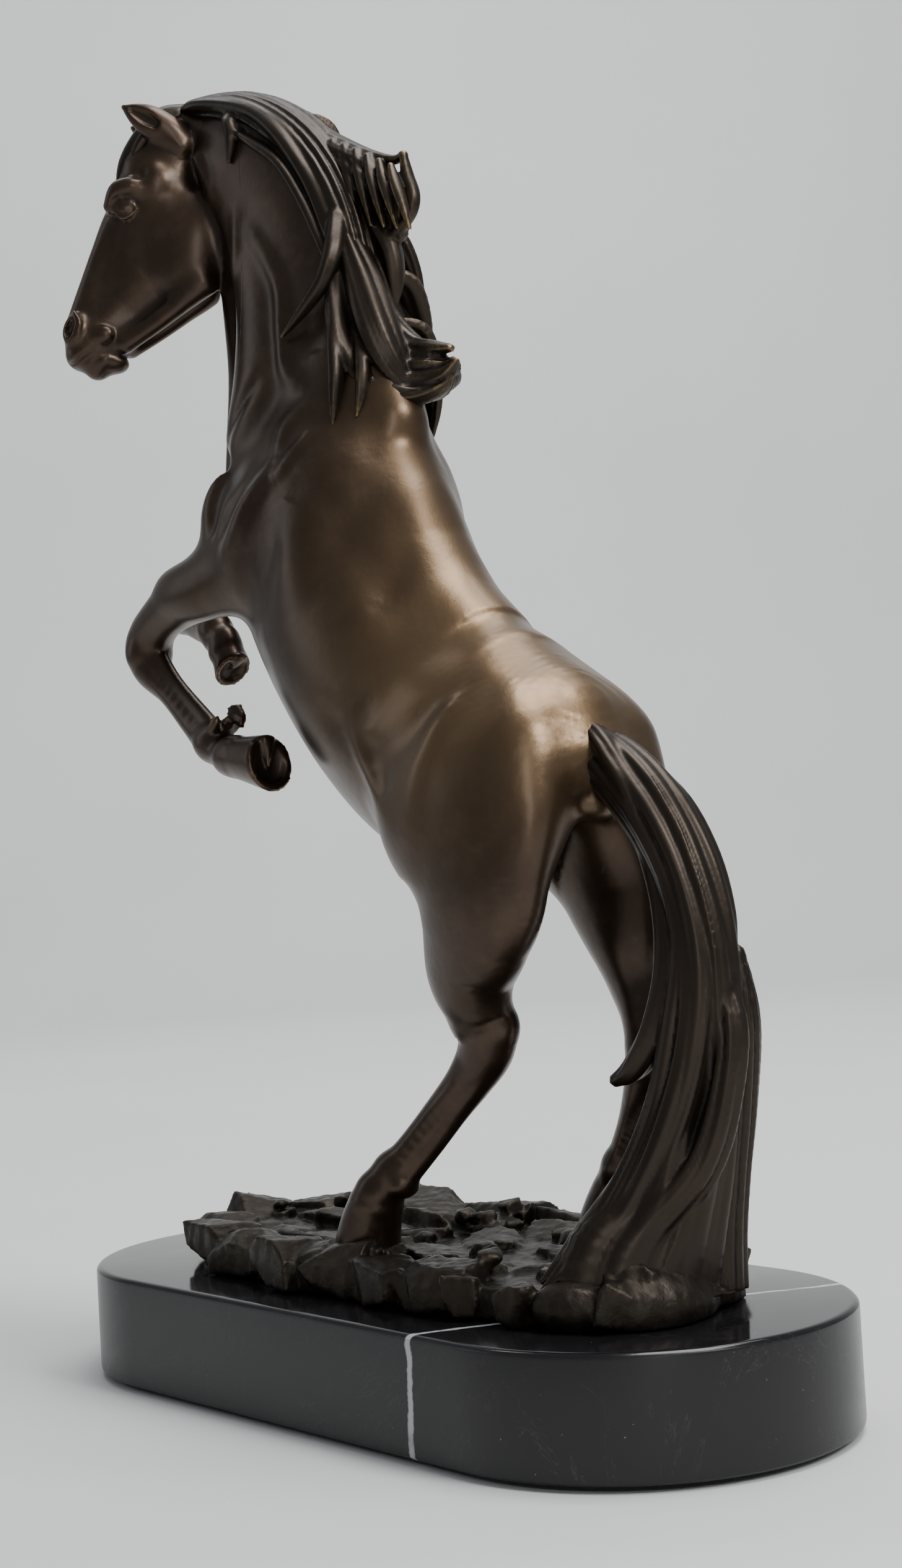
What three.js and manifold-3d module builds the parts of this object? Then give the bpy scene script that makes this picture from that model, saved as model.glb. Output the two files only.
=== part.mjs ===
// Rearing horse in cast bronze on a polished black marble plinth, about 460 mm high.
//
// Frame: millimetres, +Z up, origin at the centre of the underside.
// The horse faces -X and its left side faces -Y; the plinth is long in X.
// The bronze is a set of castings welded together; the seams are modelled as SEAM gaps.
import * as THREE from 'three';
import { mergeVertices } from 'three/addons/utils/BufferGeometryUtils.js';
import Module from 'manifold-3d';

const wasm = await Module();
wasm.setup();

// ---- driving dimensions -------------------------------------------------
const SEAM = 0.3;             // gap kept between neighbouring pieces
const PLINTH_LENGTH = 318.7;
const PLINTH_WIDTH = 140;
const PLINTH_TOP = 39.2;      // height of the polished top above the table
const PLINTH_CHAMFER = 2;
const FELT_THICKNESS = 1.5;
const FELT_INSET = 4;
const STUD_X = [-70, 70];     // two studs hold the bronze down
const STUD_DIAMETER = 6;
const STUD_HOLE = 7;
const COUNTERBORE = 20;
const COUNTERBORE_DEPTH = 12;
const FELT_HOLE = 22;
const GROUND_Z = PLINTH_TOP + SEAM;
const GROUND_THICKNESS = 11;
const HEAD_YAW = 50;          // degrees the head turns to the horse's left
const POLL = [-90.2, -10, 453];

// ---- materials ----------------------------------------------------------
function material(name, color, roughness, metalness) {
  return new THREE.MeshStandardMaterial({ name, color, roughness, metalness });
}
const BRONZE = [0x5b4636, 0.42, 1];
const DARK_BRONZE = [0x3a302a, 0.5, 1];
const MARBLE = [0x1b1b1e, 0.12, 0];
const FELT = [0x1d2a22, 0.95, 0];
const STEEL = [0x9a9c9e, 0.4, 1];

// ---- solids: three.js geometry in, closed manifold out -------------------
function solid(geometry) {
  const bare = geometry.index ? geometry.toNonIndexed() : geometry.clone();
  bare.deleteAttribute('normal');
  bare.deleteAttribute('uv');
  const merged = mergeVertices(bare, 1e-4);
  const mesh = new wasm.Mesh({
    numProp: 3,
    vertProperties: new Float32Array(merged.attributes.position.array),
    triVerts: new Uint32Array(merged.index.array),
  });
  return new wasm.Manifold(mesh);
}

function join(...solids) {
  return solids.reduce((all, one) => all.add(one));
}

function mesh(name, shape, look) {
  const data = shape.getMesh();
  const geometry = new THREE.BufferGeometry();
  geometry.setAttribute('position', new THREE.BufferAttribute(data.vertProperties, 3));
  geometry.setIndex(new THREE.BufferAttribute(data.triVerts, 1));
  geometry.computeVertexNormals();
  const made = new THREE.Mesh(geometry, material(name, ...look));
  made.name = name;
  return made;
}

// ---- lofts: a closed cylinder bent along a curve -------------------------
// A station is [x, y, z, depth, width]; depth lies in the bend plane, width along `side`.
function spline(stations, t) {
  const last = stations.length - 1;
  const at = Math.min(Math.max(t, 0), 1) * last;
  const i = Math.min(Math.floor(at), last - 1);
  const f = at - i;
  const pick = (k) => stations[Math.min(Math.max(k, 0), last)];
  const [p0, p1, p2, p3] = [pick(i - 1), pick(i), pick(i + 1), pick(i + 2)];
  return p1.map((v, c) => {
    const a = 2 * p1[c];
    const b = p2[c] - p0[c];
    const d = 2 * p0[c] - 5 * p1[c] + 4 * p2[c] - p3[c];
    const e = 3 * p1[c] - p0[c] - 3 * p2[c] + p3[c];
    return 0.5 * (a + b * f + d * f * f + e * f * f * f);
  });
}

function loft(stations, { side = [0, -1, 0], around = 16, along = 3, grow = 0 } = {}) {
  const steps = (stations.length - 1) * along;
  const geometry = new THREE.CylinderGeometry(1, 1, 1, around, steps, false);
  const position = geometry.attributes.position;
  for (let v = 0; v < position.count; v += 1) {
    const t = position.getY(v) + 0.5;
    const here = spline(stations, t);
    const before = spline(stations, t - 0.01);
    const after = spline(stations, t + 0.01);
    const tangent = new THREE.Vector3(...after.slice(0, 3));
    tangent.sub(new THREE.Vector3(...before.slice(0, 3))).normalize();
    const wide = new THREE.Vector3(...(here.length > 5 ? here.slice(5, 8) : side));
    wide.addScaledVector(tangent, -wide.dot(tangent)).normalize();
    const deep = new THREE.Vector3().crossVectors(wide, tangent);
    const centre = new THREE.Vector3(...here.slice(0, 3));
    const depth = Math.max(here[3], 0.2) + grow;
    const width = Math.max(here[4], 0.2) + grow;
    centre.addScaledVector(deep, position.getX(v) * depth);
    centre.addScaledVector(wide, position.getZ(v) * width);
    const pushed = grow * Math.sign(t - 0.5) * (t < 1e-6 || t > 1 - 1e-6 ? 1 : 0);
    centre.addScaledVector(tangent, pushed);
    position.setXYZ(v, centre.x, centre.y, centre.z);
  }
  const made = solid(geometry);
  if (made.volume() > 0) return made;
  return solid(flip(geometry));
}

function flip(geometry) {
  const index = geometry.index;
  for (let i = 0; i < index.count; i += 3) {
    const a = index.getX(i);
    index.setX(i, index.getX(i + 1));
    index.setX(i + 1, a);
  }
  return geometry;
}

// An ellipsoid of half-sizes [a, b, c] at a centre, turned by Euler degrees.
function blob(centre, half, turn = [0, 0, 0], grow = 0, detail = 12) {
  const geometry = new THREE.SphereGeometry(1, detail, Math.round(detail * 0.6));
  geometry.scale(half[0] + grow, half[1] + grow, half[2] + grow);
  const euler = new THREE.Euler(...turn.map(THREE.MathUtils.degToRad));
  geometry.applyMatrix4(new THREE.Matrix4().makeRotationFromEuler(euler));
  geometry.translate(...centre);
  return solid(geometry);
}

// An upright cylinder between two heights.
function drum(x, y, low, high, diameter, sides = 20) {
  const geometry = new THREE.CylinderGeometry(diameter / 2, diameter / 2, high - low, sides);
  geometry.rotateX(Math.PI / 2);
  geometry.translate(x, y, (low + high) / 2);
  return solid(geometry);
}

// ---- plinth and fixings --------------------------------------------------
function stadium(length, width) {
  const shape = new THREE.Shape();
  const radius = width / 2;
  const straight = length / 2 - radius;
  shape.absarc(straight, 0, radius, -Math.PI / 2, Math.PI / 2, false);
  shape.absarc(-straight, 0, radius, Math.PI / 2, Math.PI * 1.5, false);
  shape.closePath();
  return shape;
}

function plinth() {
  const low = FELT_THICKNESS + SEAM;
  const inner = stadium(PLINTH_LENGTH - 2 * PLINTH_CHAMFER, PLINTH_WIDTH - 2 * PLINTH_CHAMFER);
  const geometry = new THREE.ExtrudeGeometry(inner, {
    depth: PLINTH_TOP - low - 2 * PLINTH_CHAMFER,
    curveSegments: 20,
    bevelEnabled: true,
    bevelThickness: PLINTH_CHAMFER,
    bevelSize: PLINTH_CHAMFER,
    bevelSegments: 1,
  });
  geometry.translate(0, 0, low + PLINTH_CHAMFER);
  let block = solid(geometry);
  for (const x of STUD_X) {
    block = block.subtract(drum(x, 0, 0, PLINTH_TOP + 5, STUD_HOLE));
    block = block.subtract(drum(x, 0, 0, low + COUNTERBORE_DEPTH, COUNTERBORE));
  }
  return block;
}

function feltSheet() {
  const outline = stadium(PLINTH_LENGTH - 2 * FELT_INSET, PLINTH_WIDTH - 2 * FELT_INSET);
  const geometry = new THREE.ExtrudeGeometry(outline, {
    depth: FELT_THICKNESS,
    curveSegments: 16,
    bevelEnabled: false,
  });
  let sheet = solid(geometry);
  for (const x of STUD_X) sheet = sheet.subtract(drum(x, 0, -1, FELT_THICKNESS + 1, FELT_HOLE));
  return sheet;
}

const BORE_CEILING = FELT_THICKNESS + SEAM + COUNTERBORE_DEPTH;

function washer(x) {
  const top = BORE_CEILING - SEAM;
  return drum(x, 0, top - 1.2, top, 14).subtract(drum(x, 0, top - 3, top + 2, 6.8));
}

function nut(x) {
  const top = BORE_CEILING - 2 * SEAM - 1.2;
  const blank = drum(x, 0, top - 5, top, 11.5, 6);
  return blank.subtract(drum(x, 0, top - 7, top + 2, STUD_DIAMETER + 0.7));
}

function stud(x) {
  return drum(x, 0, BORE_CEILING - 8.5, GROUND_Z + 7, STUD_DIAMETER, 24);
}

// ---- rocky ground --------------------------------------------------------
// Outline of the casting on the plinth, anticlockwise from the tail end.
const GROUND_OUTLINE = [
  [123, 2], [119, 28], [88, 44], [48, 54], [4, 57], [-40, 53], [-84, 44], [-116, 30],
  [-126, 8], [-120, -16], [-102, -34], [-70, -45], [-16, -51], [28, -52], [64, -50], [108, -34],
];
// Stones around the rim and on top: [x, y, z, half x, half y, half z, turn].
const STONES = [
  [-108, -20, 47, 16, 13, 8, 20], [-84, -32, 48, 15, 11, 8, -10], [-56, -38, 48, 16, 10, 8, 5],
  [-28, -42, 48, 15, 11, 8, -6], [-2, -42, 49, 14, 11, 9, 8], [26, -44, 49, 14, 10, 8, -5],
  [52, -43, 49, 15, 10, 9, 4], [84, -36, 49, 24, 12, 9, -18], [112, -12, 48, 12, 18, 8, 12],
  [112, 16, 50, 12, 14, 8, -18], [92, 34, 49, 20, 11, 8, -30], [58, 45, 48, 20, 10, 8, -8],
  [20, 48, 48, 20, 10, 8, 3], [-20, 47, 49, 19, 10, 9, -4], [-60, 41, 50, 20, 11, 9, 10],
  [-96, 28, 50, 17, 13, 8, 30], [-114, 6, 49, 13, 16, 8, 0],
];

function ground() {
  const curve = new THREE.SplineCurve(
    [...GROUND_OUTLINE, GROUND_OUTLINE[0]].map((p) => new THREE.Vector2(...p)));
  const shape = new THREE.Shape(curve.getPoints(48).slice(0, -1));
  const geometry = new THREE.ExtrudeGeometry(shape, {
    depth: GROUND_THICKNESS - 2.5,
    bevelEnabled: true,
    bevelThickness: 2.5,
    bevelSize: 2.5,
    bevelOffset: -2.5,
    bevelSegments: 1,
  });
  geometry.translate(0, 0, GROUND_Z + 2.5);
  let made = solid(geometry);
  for (const [x, y, z, a, b, c, turn] of STONES) {
    made = made.add(blob([x, y, z - 1.5], [a, b, c], [0, 0, turn], 0, 8));
  }
  const floor = new THREE.BoxGeometry(400, 200, 40);
  floor.translate(0, 0, GROUND_Z - 20);
  made = made.subtract(solid(floor));
  for (const x of STUD_X) made = made.subtract(drum(x, 0, GROUND_Z - 2, GROUND_Z + 7.3, 6.6, 24));
  return made;
}

// ---- trunk, neck and head --------------------------------------------------
// Trunk from the buttocks (first) up to the chest (last), with the withers at the top.
const TRUNK = [
  [88, 0, 194, 6, 8], [82, 0, 201, 20, 24], [70, 0, 207, 31, 34], [49, 0, 212, 41, 39],
  [26, 0, 220, 46, 39], [3.5, 0, 238, 47, 38.5], [-15, 0, 262, 48, 38], [-28, 0, 285, 50, 38],
  [-40, 0, 305, 48, 37], [-51, 0, 322, 40, 31], [-58, 0, 333, 23, 19],
];
const NECK = [
  [-34, 0, 300, 42, 28], [-37, 0, 330, 45, 27], [-41, 0, 356, 41, 22], [-45, -1, 382, 36, 18.5],
  [-51, -2, 406, 34, 16.5], [-62, -4, 426, 30, 15], [-75, -7, 440, 22, 13.5],
  [-86, -10, 449, 12, 10],
];
const FLANKS = [
  [[58, 22, 204], [33, 17, 38], [0, -30, 0]],      // haunches
  [[-45, 21, 298], [26, 18, 42], [0, -35, 0]],     // shoulders
  [[-73, 14, 292], [17, 16, 26], [0, -20, 0]],     // breast muscles
];

function torso(grow = 0) {
  let made = loft(TRUNK, { around: 20, along: 2, grow });
  for (const [[x, y, z], half, turn] of FLANKS) {
    for (const hand of [-1, 1]) {
      made = made.add(blob([x, y * hand, z], half, turn, grow, 14));
    }
  }
  return made;
}

function neck(grow = 0) {
  return loft(NECK, { around: 16, along: 2, grow });
}

// Head in its own frame: poll at the origin, nose towards -X, hanging down.
const SKULL = [
  [-6, 0, 2, 8, 8], [-13, 0, -10, 13, 12.5], [-17, 0, -23, 16.5, 15.5], [-19.5, 0, -37, 20, 14.5],
  [-25.5, 0, -51, 18.5, 11.5], [-35, 0, -62, 14, 9.5], [-42, 0, -72, 12, 9.5],
  [-44.5, 0, -80, 10.5, 9], [-44, 0, -87, 5, 5],
];

function placeHead(shape) {
  return shape.rotate([0, 0, HEAD_YAW]).translate(POLL);
}

function head(grow = 0) {
  let made = loft(SKULL, { around: 16, along: 2, grow });
  for (const hand of [-1, 1]) {
    made = made.add(blob([-28, 11.5 * hand, -29], [6, 4.5, 5], [0, 0, 0], grow, 8));
    made = made.add(blob([-7, 6 * hand, -44], [13, 7.5, 20], [0, 10, 0], grow, 12));
  }
  return placeHead(made);
}

function ear(hand, grow = 0) {
  const stations = [
    [-12, 7 * hand, -6, 4, 4], [-16, 9 * hand, -1, 5, 4.2], [-21, 11 * hand, 4, 4.2, 3.2],
    [-26, 12 * hand, 8.5, 1.2, 1.2],
  ];
  return placeHead(loft(stations, { around: 10, along: 2, grow }));
}

// ---- legs ------------------------------------------------------------------
const LEFT_FORELEG = [
  [-58, -27, 284, 14, 11], [-76, -29, 282, 13.5, 10.5], [-98, -29, 277, 11, 9.5],
  [-114, -28, 271, 9.5, 9], [-122, -27, 264, 10, 9], [-116, -27, 255, 8, 7.5],
  [-104, -27, 245, 5.8, 5.6], [-90, -27, 232, 6, 5.8], [-79, -27, 224, 7.5, 7],
  [-69, -27.5, 219, 6.5, 7.5], [-58, -28, 216.5, 8.5, 9], [-46, -28, 215, 10, 10],
  [-42, -28, 214.5, 9.5, 9.5],
];
const RIGHT_FORELEG = [
  [-62, 27, 290, 14, 11], [-88, 24, 291, 12.5, 10.5], [-120, 20, 290, 10.5, 9.5],
  [-146, 16, 290, 9, 9], [-158, 14, 288, 9.5, 9], [-155, 11, 281, 7.5, 7.5],
  [-141, 8, 277, 5.8, 5.6], [-128, 6, 274, 6.2, 6], [-120, 4, 270, 6.5, 6.5],
  [-115, 4, 263, 8, 8], [-110, 4, 255, 9, 9], [-108.5, 4, 251, 8.5, 8.5],
];
const LEFT_HIND_LEG = [
  [58, -24, 205, 30, 17], [62, -26, 184, 32, 17], [62, -27, 167, 29, 16], [58, -25, 154, 22, 14],
  [51, -21, 142, 14, 10.5], [46.5, -17, 130, 10, 8], [48, -15, 119, 11, 8],
  [37, -16, 107, 8, 7], [25, -20, 95, 6.5, 6], [14.5, -24, 81, 6.5, 6], [6, -27, 74, 8, 7.5],
  [0, -28, 67, 7.5, 8], [-3, -29, 59, 9.5, 9.5], [-6, -30, 47, 12, 11.5],
];
const RIGHT_HIND_LEG = [
  [60, 24, 205, 30, 17], [66, 25, 184, 28, 16], [71, 24, 165, 22, 14], [75, 24, 150, 16, 11.5],
  [79, 24, 136, 10.5, 8.5], [84, 23, 124, 9.5, 8], [86, 22, 114, 11, 8],
  [80, 23, 103, 8, 7], [74, 24, 92, 6.5, 6], [68, 25, 81, 6.5, 6], [63, 26, 73, 8, 7.5],
  [58, 27, 66, 7.5, 8], [53, 28, 59, 9.5, 9.5], [49, 29, 47, 12, 11.5],
];

function leg(stations, grow = 0) {
  return loft(stations, { around: 12, along: 2, grow });
}

// ---- mane, forelock and tail -----------------------------------------------
const MANE_CREST = [
  [-96, -11, 460, 3, 5], [-84, -8, 459, 7, 8], [-67, -4, 453, 9, 10], [-52, -1, 444, 11, 10],
  [-39, 2, 431, 12, 10], [-28, 4, 416, 11, 10], [-20, 6, 401, 9, 8], [-16, 7, 390, 3, 4],
];
const MANE_FLARE = [
  [-46, 0, 440, 7, 8], [-31, 4, 429, 10, 8], [-17, 6, 420, 11, 7], [-6, 8, 413, 10, 6],
  [0, 9, 407, 8, 5], [1, 9, 398, 3, 3],
];
const MANE_FALL = [
  [-25, 5, 402, 8, 8], [-20, 7, 388, 10, 11], [-15, 8, 370, 12, 13], [-9, 10, 355, 12.5, 13],
  [1, 11, 347, 11, 11], [11, 12, 345, 9, 8], [18, 12, 346, 3, 3],
];
const FORELOCK = [
  [-7, 0, 5, 3, 5], [-15, -1, 1, 4, 7], [-22, -2, -6, 4, 6], [-27, -3, -14, 3, 4.5],
  [-31, -3, -20, 1, 1.5],
];
const TAIL = [
  [80, 0, 210, 9, 9], [91, 1, 207, 10, 10], [104, 2, 197, 11, 11], [114, 3, 184, 11, 11.5],
  [121, 4, 168, 10.5, 11], [125, 4, 148, 11, 12], [124, 4, 126, 12, 13.5],
  [119, 1.5, 104, 12, 14.5], [117, -1, 84, 12, 15.5], [113, -8, 66, 12, 22],
  [111, -12.5, 54, 11, 27], [110, -13, 45, 10, 29],
];
const TAIL_SIDE = [0.43, 0.9, 0];
const TAIL_STRAND = [
  [130, 12, 142, 3, 3], [127, 12, 124, 6, 7], [121, 12, 100, 7, 7], [118, 12, 78, 7, 7],
  [116, 12, 62, 7.5, 7.5], [115, 12, 47, 8, 8],
];
const TAIL_FAR_LOCK = [
  [90, 42, 172, 2, 2], [80, 45, 156, 6, 4.5], [70, 46, 130, 8, 5], [64, 45, 102, 8, 5],
  [61, 43, 76, 8, 5], [60, 42, 47, 7, 5],
];

function mane(stations, around = 14) {
  return loft(stations, { around, along: 2 });
}

// ---- assembly ----------------------------------------------------------------
const groundSolid = ground();
const bedrock = new THREE.BoxGeometry(400, 200, 60);
bedrock.translate(0, 0, GROUND_Z + 6 - 30);
const groundGrown = join(groundSolid, groundSolid.translate([0, 0, SEAM]), solid(bedrock));
const torsoGrown = torso(SEAM);
const neckGrown = neck(SEAM);
const headGrown = head(SEAM);

const torsoSolid = torso();
const neckSolid = neck().subtract(torsoGrown);
const headSolid = head().subtract(neckGrown).subtract(torsoGrown);

function castLeg(stations) {
  return largest(leg(stations).subtract(torsoGrown).subtract(neckGrown).subtract(groundGrown));
}

// Cuts can leave slivers behind; a casting keeps its one main body.
function largest(shape) {
  const bodies = shape.decompose();
  return bodies.reduce((best, one) => (one.volume() > best.volume() ? one : best));
}

function clear(shape, ...others) {
  return largest(others.reduce((left, other) => left.subtract(other), shape));
}

const hindGrown = [LEFT_HIND_LEG, RIGHT_HIND_LEG].map((s) => leg(s, SEAM));
const horse = [torsoGrown, neckGrown, headGrown];
const ears = [ear(-1, SEAM), ear(1, SEAM)];
const tailSolid = clear(loft(TAIL, { side: TAIL_SIDE, around: 18, along: 2 }),
  torsoGrown, groundGrown, ...hindGrown);
const tailGrown = loft(TAIL, { side: TAIL_SIDE, around: 18, along: 2, grow: SEAM });
const crestGrown = loft(MANE_CREST, { around: 14, along: 2, grow: SEAM });
const flareGrown = loft(MANE_FLARE, { around: 14, along: 2, grow: SEAM });
const forelockShape = loft(FORELOCK, { around: 10, along: 2 });

const statue = new THREE.Group();
statue.name = 'rearing_horse_bronze';
statue.add(mesh('felt_sheet', feltSheet(), FELT));
statue.add(mesh('marble_plinth', plinth(), MARBLE));
STUD_X.forEach((x, i) => {
  statue.add(mesh(`washer_${i + 1}`, washer(x), STEEL));
  statue.add(mesh(`nut_${i + 1}`, nut(x), STEEL));
  statue.add(mesh(`stud_${i + 1}`, stud(x), STEEL));
});
statue.add(mesh('rock_ground', groundSolid, DARK_BRONZE));
statue.add(mesh('torso', torsoSolid, BRONZE));
statue.add(mesh('neck', largest(neckSolid), BRONZE));
statue.add(mesh('head', largest(headSolid), BRONZE));
statue.add(mesh('left_ear', clear(ear(-1), ...horse), BRONZE));
statue.add(mesh('right_ear', clear(ear(1), ...horse, crestGrown), BRONZE));
statue.add(mesh('left_foreleg', castLeg(LEFT_FORELEG), BRONZE));
statue.add(mesh('right_foreleg', castLeg(RIGHT_FORELEG), BRONZE));
statue.add(mesh('left_hind_leg', castLeg(LEFT_HIND_LEG), BRONZE));
statue.add(mesh('right_hind_leg', castLeg(RIGHT_HIND_LEG), BRONZE));
statue.add(mesh('mane_crest', clear(mane(MANE_CREST), ...horse), DARK_BRONZE));
statue.add(mesh('mane_flare', clear(mane(MANE_FLARE), crestGrown, ...horse), DARK_BRONZE));
statue.add(mesh('mane_fall', clear(mane(MANE_FALL), crestGrown, flareGrown, ...horse),
  DARK_BRONZE));
statue.add(mesh('forelock', clear(placeHead(forelockShape), crestGrown, ...ears, ...horse),
  DARK_BRONZE));
statue.add(mesh('tail', tailSolid, DARK_BRONZE));
statue.add(mesh('tail_strand', clear(loft(TAIL_STRAND, { around: 12, along: 2 }),
  tailGrown, groundGrown, ...hindGrown), DARK_BRONZE));
statue.add(mesh('tail_far_lock', clear(loft(TAIL_FAR_LOCK, { side: [0.3, 0.95, 0], around: 12 }),
  tailGrown, torsoGrown, groundGrown, ...hindGrown), DARK_BRONZE));

export default statue;
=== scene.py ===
# Rearing horse in cast bronze on a polished black marble plinth.
# The bronze is sculpted as a signed distance field in millimetres, in the CAD frame
# (+Z up, the horse faces -X, its left side faces -Y), and meshed in metres.
import math

import bmesh
import bpy
import numpy as np
import openvdb
from mathutils import Matrix, Vector


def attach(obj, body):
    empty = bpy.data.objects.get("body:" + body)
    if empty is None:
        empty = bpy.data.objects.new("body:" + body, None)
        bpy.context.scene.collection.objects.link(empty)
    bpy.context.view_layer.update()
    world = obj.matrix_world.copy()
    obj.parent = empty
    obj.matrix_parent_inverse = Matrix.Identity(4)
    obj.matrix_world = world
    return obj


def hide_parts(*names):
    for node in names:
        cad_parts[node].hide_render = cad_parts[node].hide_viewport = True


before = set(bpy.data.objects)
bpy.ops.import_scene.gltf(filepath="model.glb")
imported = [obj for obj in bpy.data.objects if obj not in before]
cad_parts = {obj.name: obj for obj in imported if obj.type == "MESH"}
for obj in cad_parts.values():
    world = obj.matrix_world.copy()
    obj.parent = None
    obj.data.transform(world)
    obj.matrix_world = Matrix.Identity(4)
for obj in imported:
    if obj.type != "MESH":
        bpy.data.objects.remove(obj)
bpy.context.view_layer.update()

BODY_VOXEL = 1.05      # mm
FINE_VOXEL = 0.55
HAIR_VOXEL = 0.62
ROCK_VOXEL = 1.0
MM = 0.001

PLINTH_LENGTH = 318.7
PLINTH_WIDTH = 140.0
PLINTH_TOP = 39.2
PLINTH_LOW = 1.8
PLINTH_CHAMFER = 2.0
STUD_X = (-70.0, 70.0)
GROUND_Z = 39.5
FELT_LENGTH = PLINTH_LENGTH - 8.0
FELT_WIDTH = PLINTH_WIDTH - 8.0
FELT_HOLE = 11.0                         # radius
POLL = np.array([-90.2, -10.0, 453.0])   # the top of the neck, where the head hinges
HEAD_YAW = 50.0                          # degrees, towards the horse's left
FAR = 60.0                               # a distance beyond every surface
BAND = 6.0                               # distances are kept exact this near to a surface

CAMERA_AZIMUTH = math.radians(49.98)
CAMERA_ELEVATION = math.radians(-1.884)
CAMERA_ROLL = math.radians(-3.279)
CAMERA_DISTANCE = 0.7655
CAMERA_TARGET = (18.45, 0.0, 203.9)


def add_object(name, data):
    made = bpy.data.objects.new(name, data)
    bpy.context.scene.collection.objects.link(made)
    return made


def mesh_of(work, name):
    """The mesh of a finished bmesh, which is freed."""
    mesh = bpy.data.meshes.new(name)
    work.to_mesh(mesh)
    work.free()
    return mesh


# ---- camera --------------------------------------------------------------------
def make_camera():
    level = math.cos(CAMERA_ELEVATION)
    back = Vector((math.sin(CAMERA_AZIMUTH) * level, -math.cos(CAMERA_AZIMUTH) * level,
                   math.sin(CAMERA_ELEVATION)))
    right = (-back).cross(Vector((0, 0, 1))).normalized()
    up = right.cross(-back)
    turned_right = math.cos(CAMERA_ROLL) * right + math.sin(CAMERA_ROLL) * up
    turned_up = -math.sin(CAMERA_ROLL) * right + math.cos(CAMERA_ROLL) * up
    data = bpy.data.cameras.new("camera")
    data.sensor_fit = "VERTICAL"
    data.sensor_height = 36.0
    data.lens = 36.0 * 3700.0 / 2532.0
    data.clip_start = 0.05
    data.clip_end = 20.0
    camera = add_object("camera", data)
    turn = Matrix((turned_right, turned_up, back)).transposed().to_4x4()
    place = Vector(CAMERA_TARGET) * MM + back * CAMERA_DISTANCE
    camera.matrix_world = Matrix.Translation(place) @ turn
    bpy.context.scene.camera = camera


# ---- distance fields -----------------------------------------------------------
def smooth_min(a, b, k):
    """The lesser of two distances, rounded where they are within k of each other."""
    h = np.clip(0.5 + 0.5 * (b - a) / k, 0.0, 1.0)
    return b * (1 - h) + a * h - k * h * (1 - h)


def catmull(stations, count):
    """`count` rows along a smooth curve through the stations."""
    s = np.array(stations, float)
    last = len(s) - 1
    t = np.linspace(0, last, count)
    i = np.minimum(t.astype(int), last - 1)
    f = (t - i)[:, None]
    p0, p1, p2, p3 = s[np.maximum(i - 1, 0)], s[i], s[i + 1], s[np.minimum(i + 2, last)]
    bend = (p2 - p0) * f + (2 * p0 - 5 * p1 + 4 * p2 - p3) * f * f
    return 0.5 * (2 * p1 + bend + (3 * p1 - p0 - 3 * p2 + p3) * f ** 3)


def ellipse_distance(q, half):
    """Distance from an ellipsoid of half-sizes `half`; both have a last axis of 3."""
    k0 = np.sqrt(((q / half) ** 2).sum(-1))
    k1 = np.sqrt(((q / half ** 2) ** 2).sum(-1))
    return np.where(k0 < 0.25, (k0 - 1) * half.min(-1), k0 * (k0 - 1) / np.maximum(k1, 1e-6))


class Prim:
    """One shape in the field: its box, its distance, and how it joins what came before: rounded
    by k, as a cut, or as a soft swell that only moves the surface."""

    def __init__(self, distance, low, high, k=3.0, cut=False, soft=False):
        self.distance, self.low, self.high = distance, np.array(low), np.array(high)
        self.k, self.cut, self.soft = k, cut, soft


def euler(rx, ry, rz):
    rx, ry, rz = (math.radians(a) for a in (rx, ry, rz))
    cx, sx, cy, sy = math.cos(rx), math.sin(rx), math.cos(ry), math.sin(ry)
    cz, sz = math.cos(rz), math.sin(rz)
    mx = np.array([[1, 0, 0], [0, cx, -sx], [0, sx, cx]])
    my = np.array([[cy, 0, sy], [0, 1, 0], [-sy, 0, cy]])
    mz = np.array([[cz, -sz, 0], [sz, cz, 0], [0, 0, 1]])
    return mx @ my @ mz


def ball(centre, half, turn=(0, 0, 0), k=3.0, cut=False):
    """An ellipsoid, turned by Euler degrees."""
    centre, half, rot = np.array(centre, float), np.array(half, float), euler(*turn)
    reach = half.max()

    def distance(p):
        return ellipse_distance((p - centre) @ rot, half)
    return Prim(distance, centre - reach, centre + reach, k, cut)


def box(centre, half, turn=(0, 0, 0), k=1.0, cut=False, rounding=0.5):
    """A block with rounded edges, turned by Euler degrees."""
    centre, half, rot = np.array(centre, float), np.array(half, float), euler(*turn)
    reach = np.linalg.norm(half)

    def distance(p):
        q = np.abs((p - centre) @ rot) - (half - rounding)
        outside = np.linalg.norm(np.maximum(q, 0), axis=1)
        return outside + np.minimum(q.max(1), 0) - rounding
    return Prim(distance, centre - reach, centre + reach, k, cut)


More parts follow.
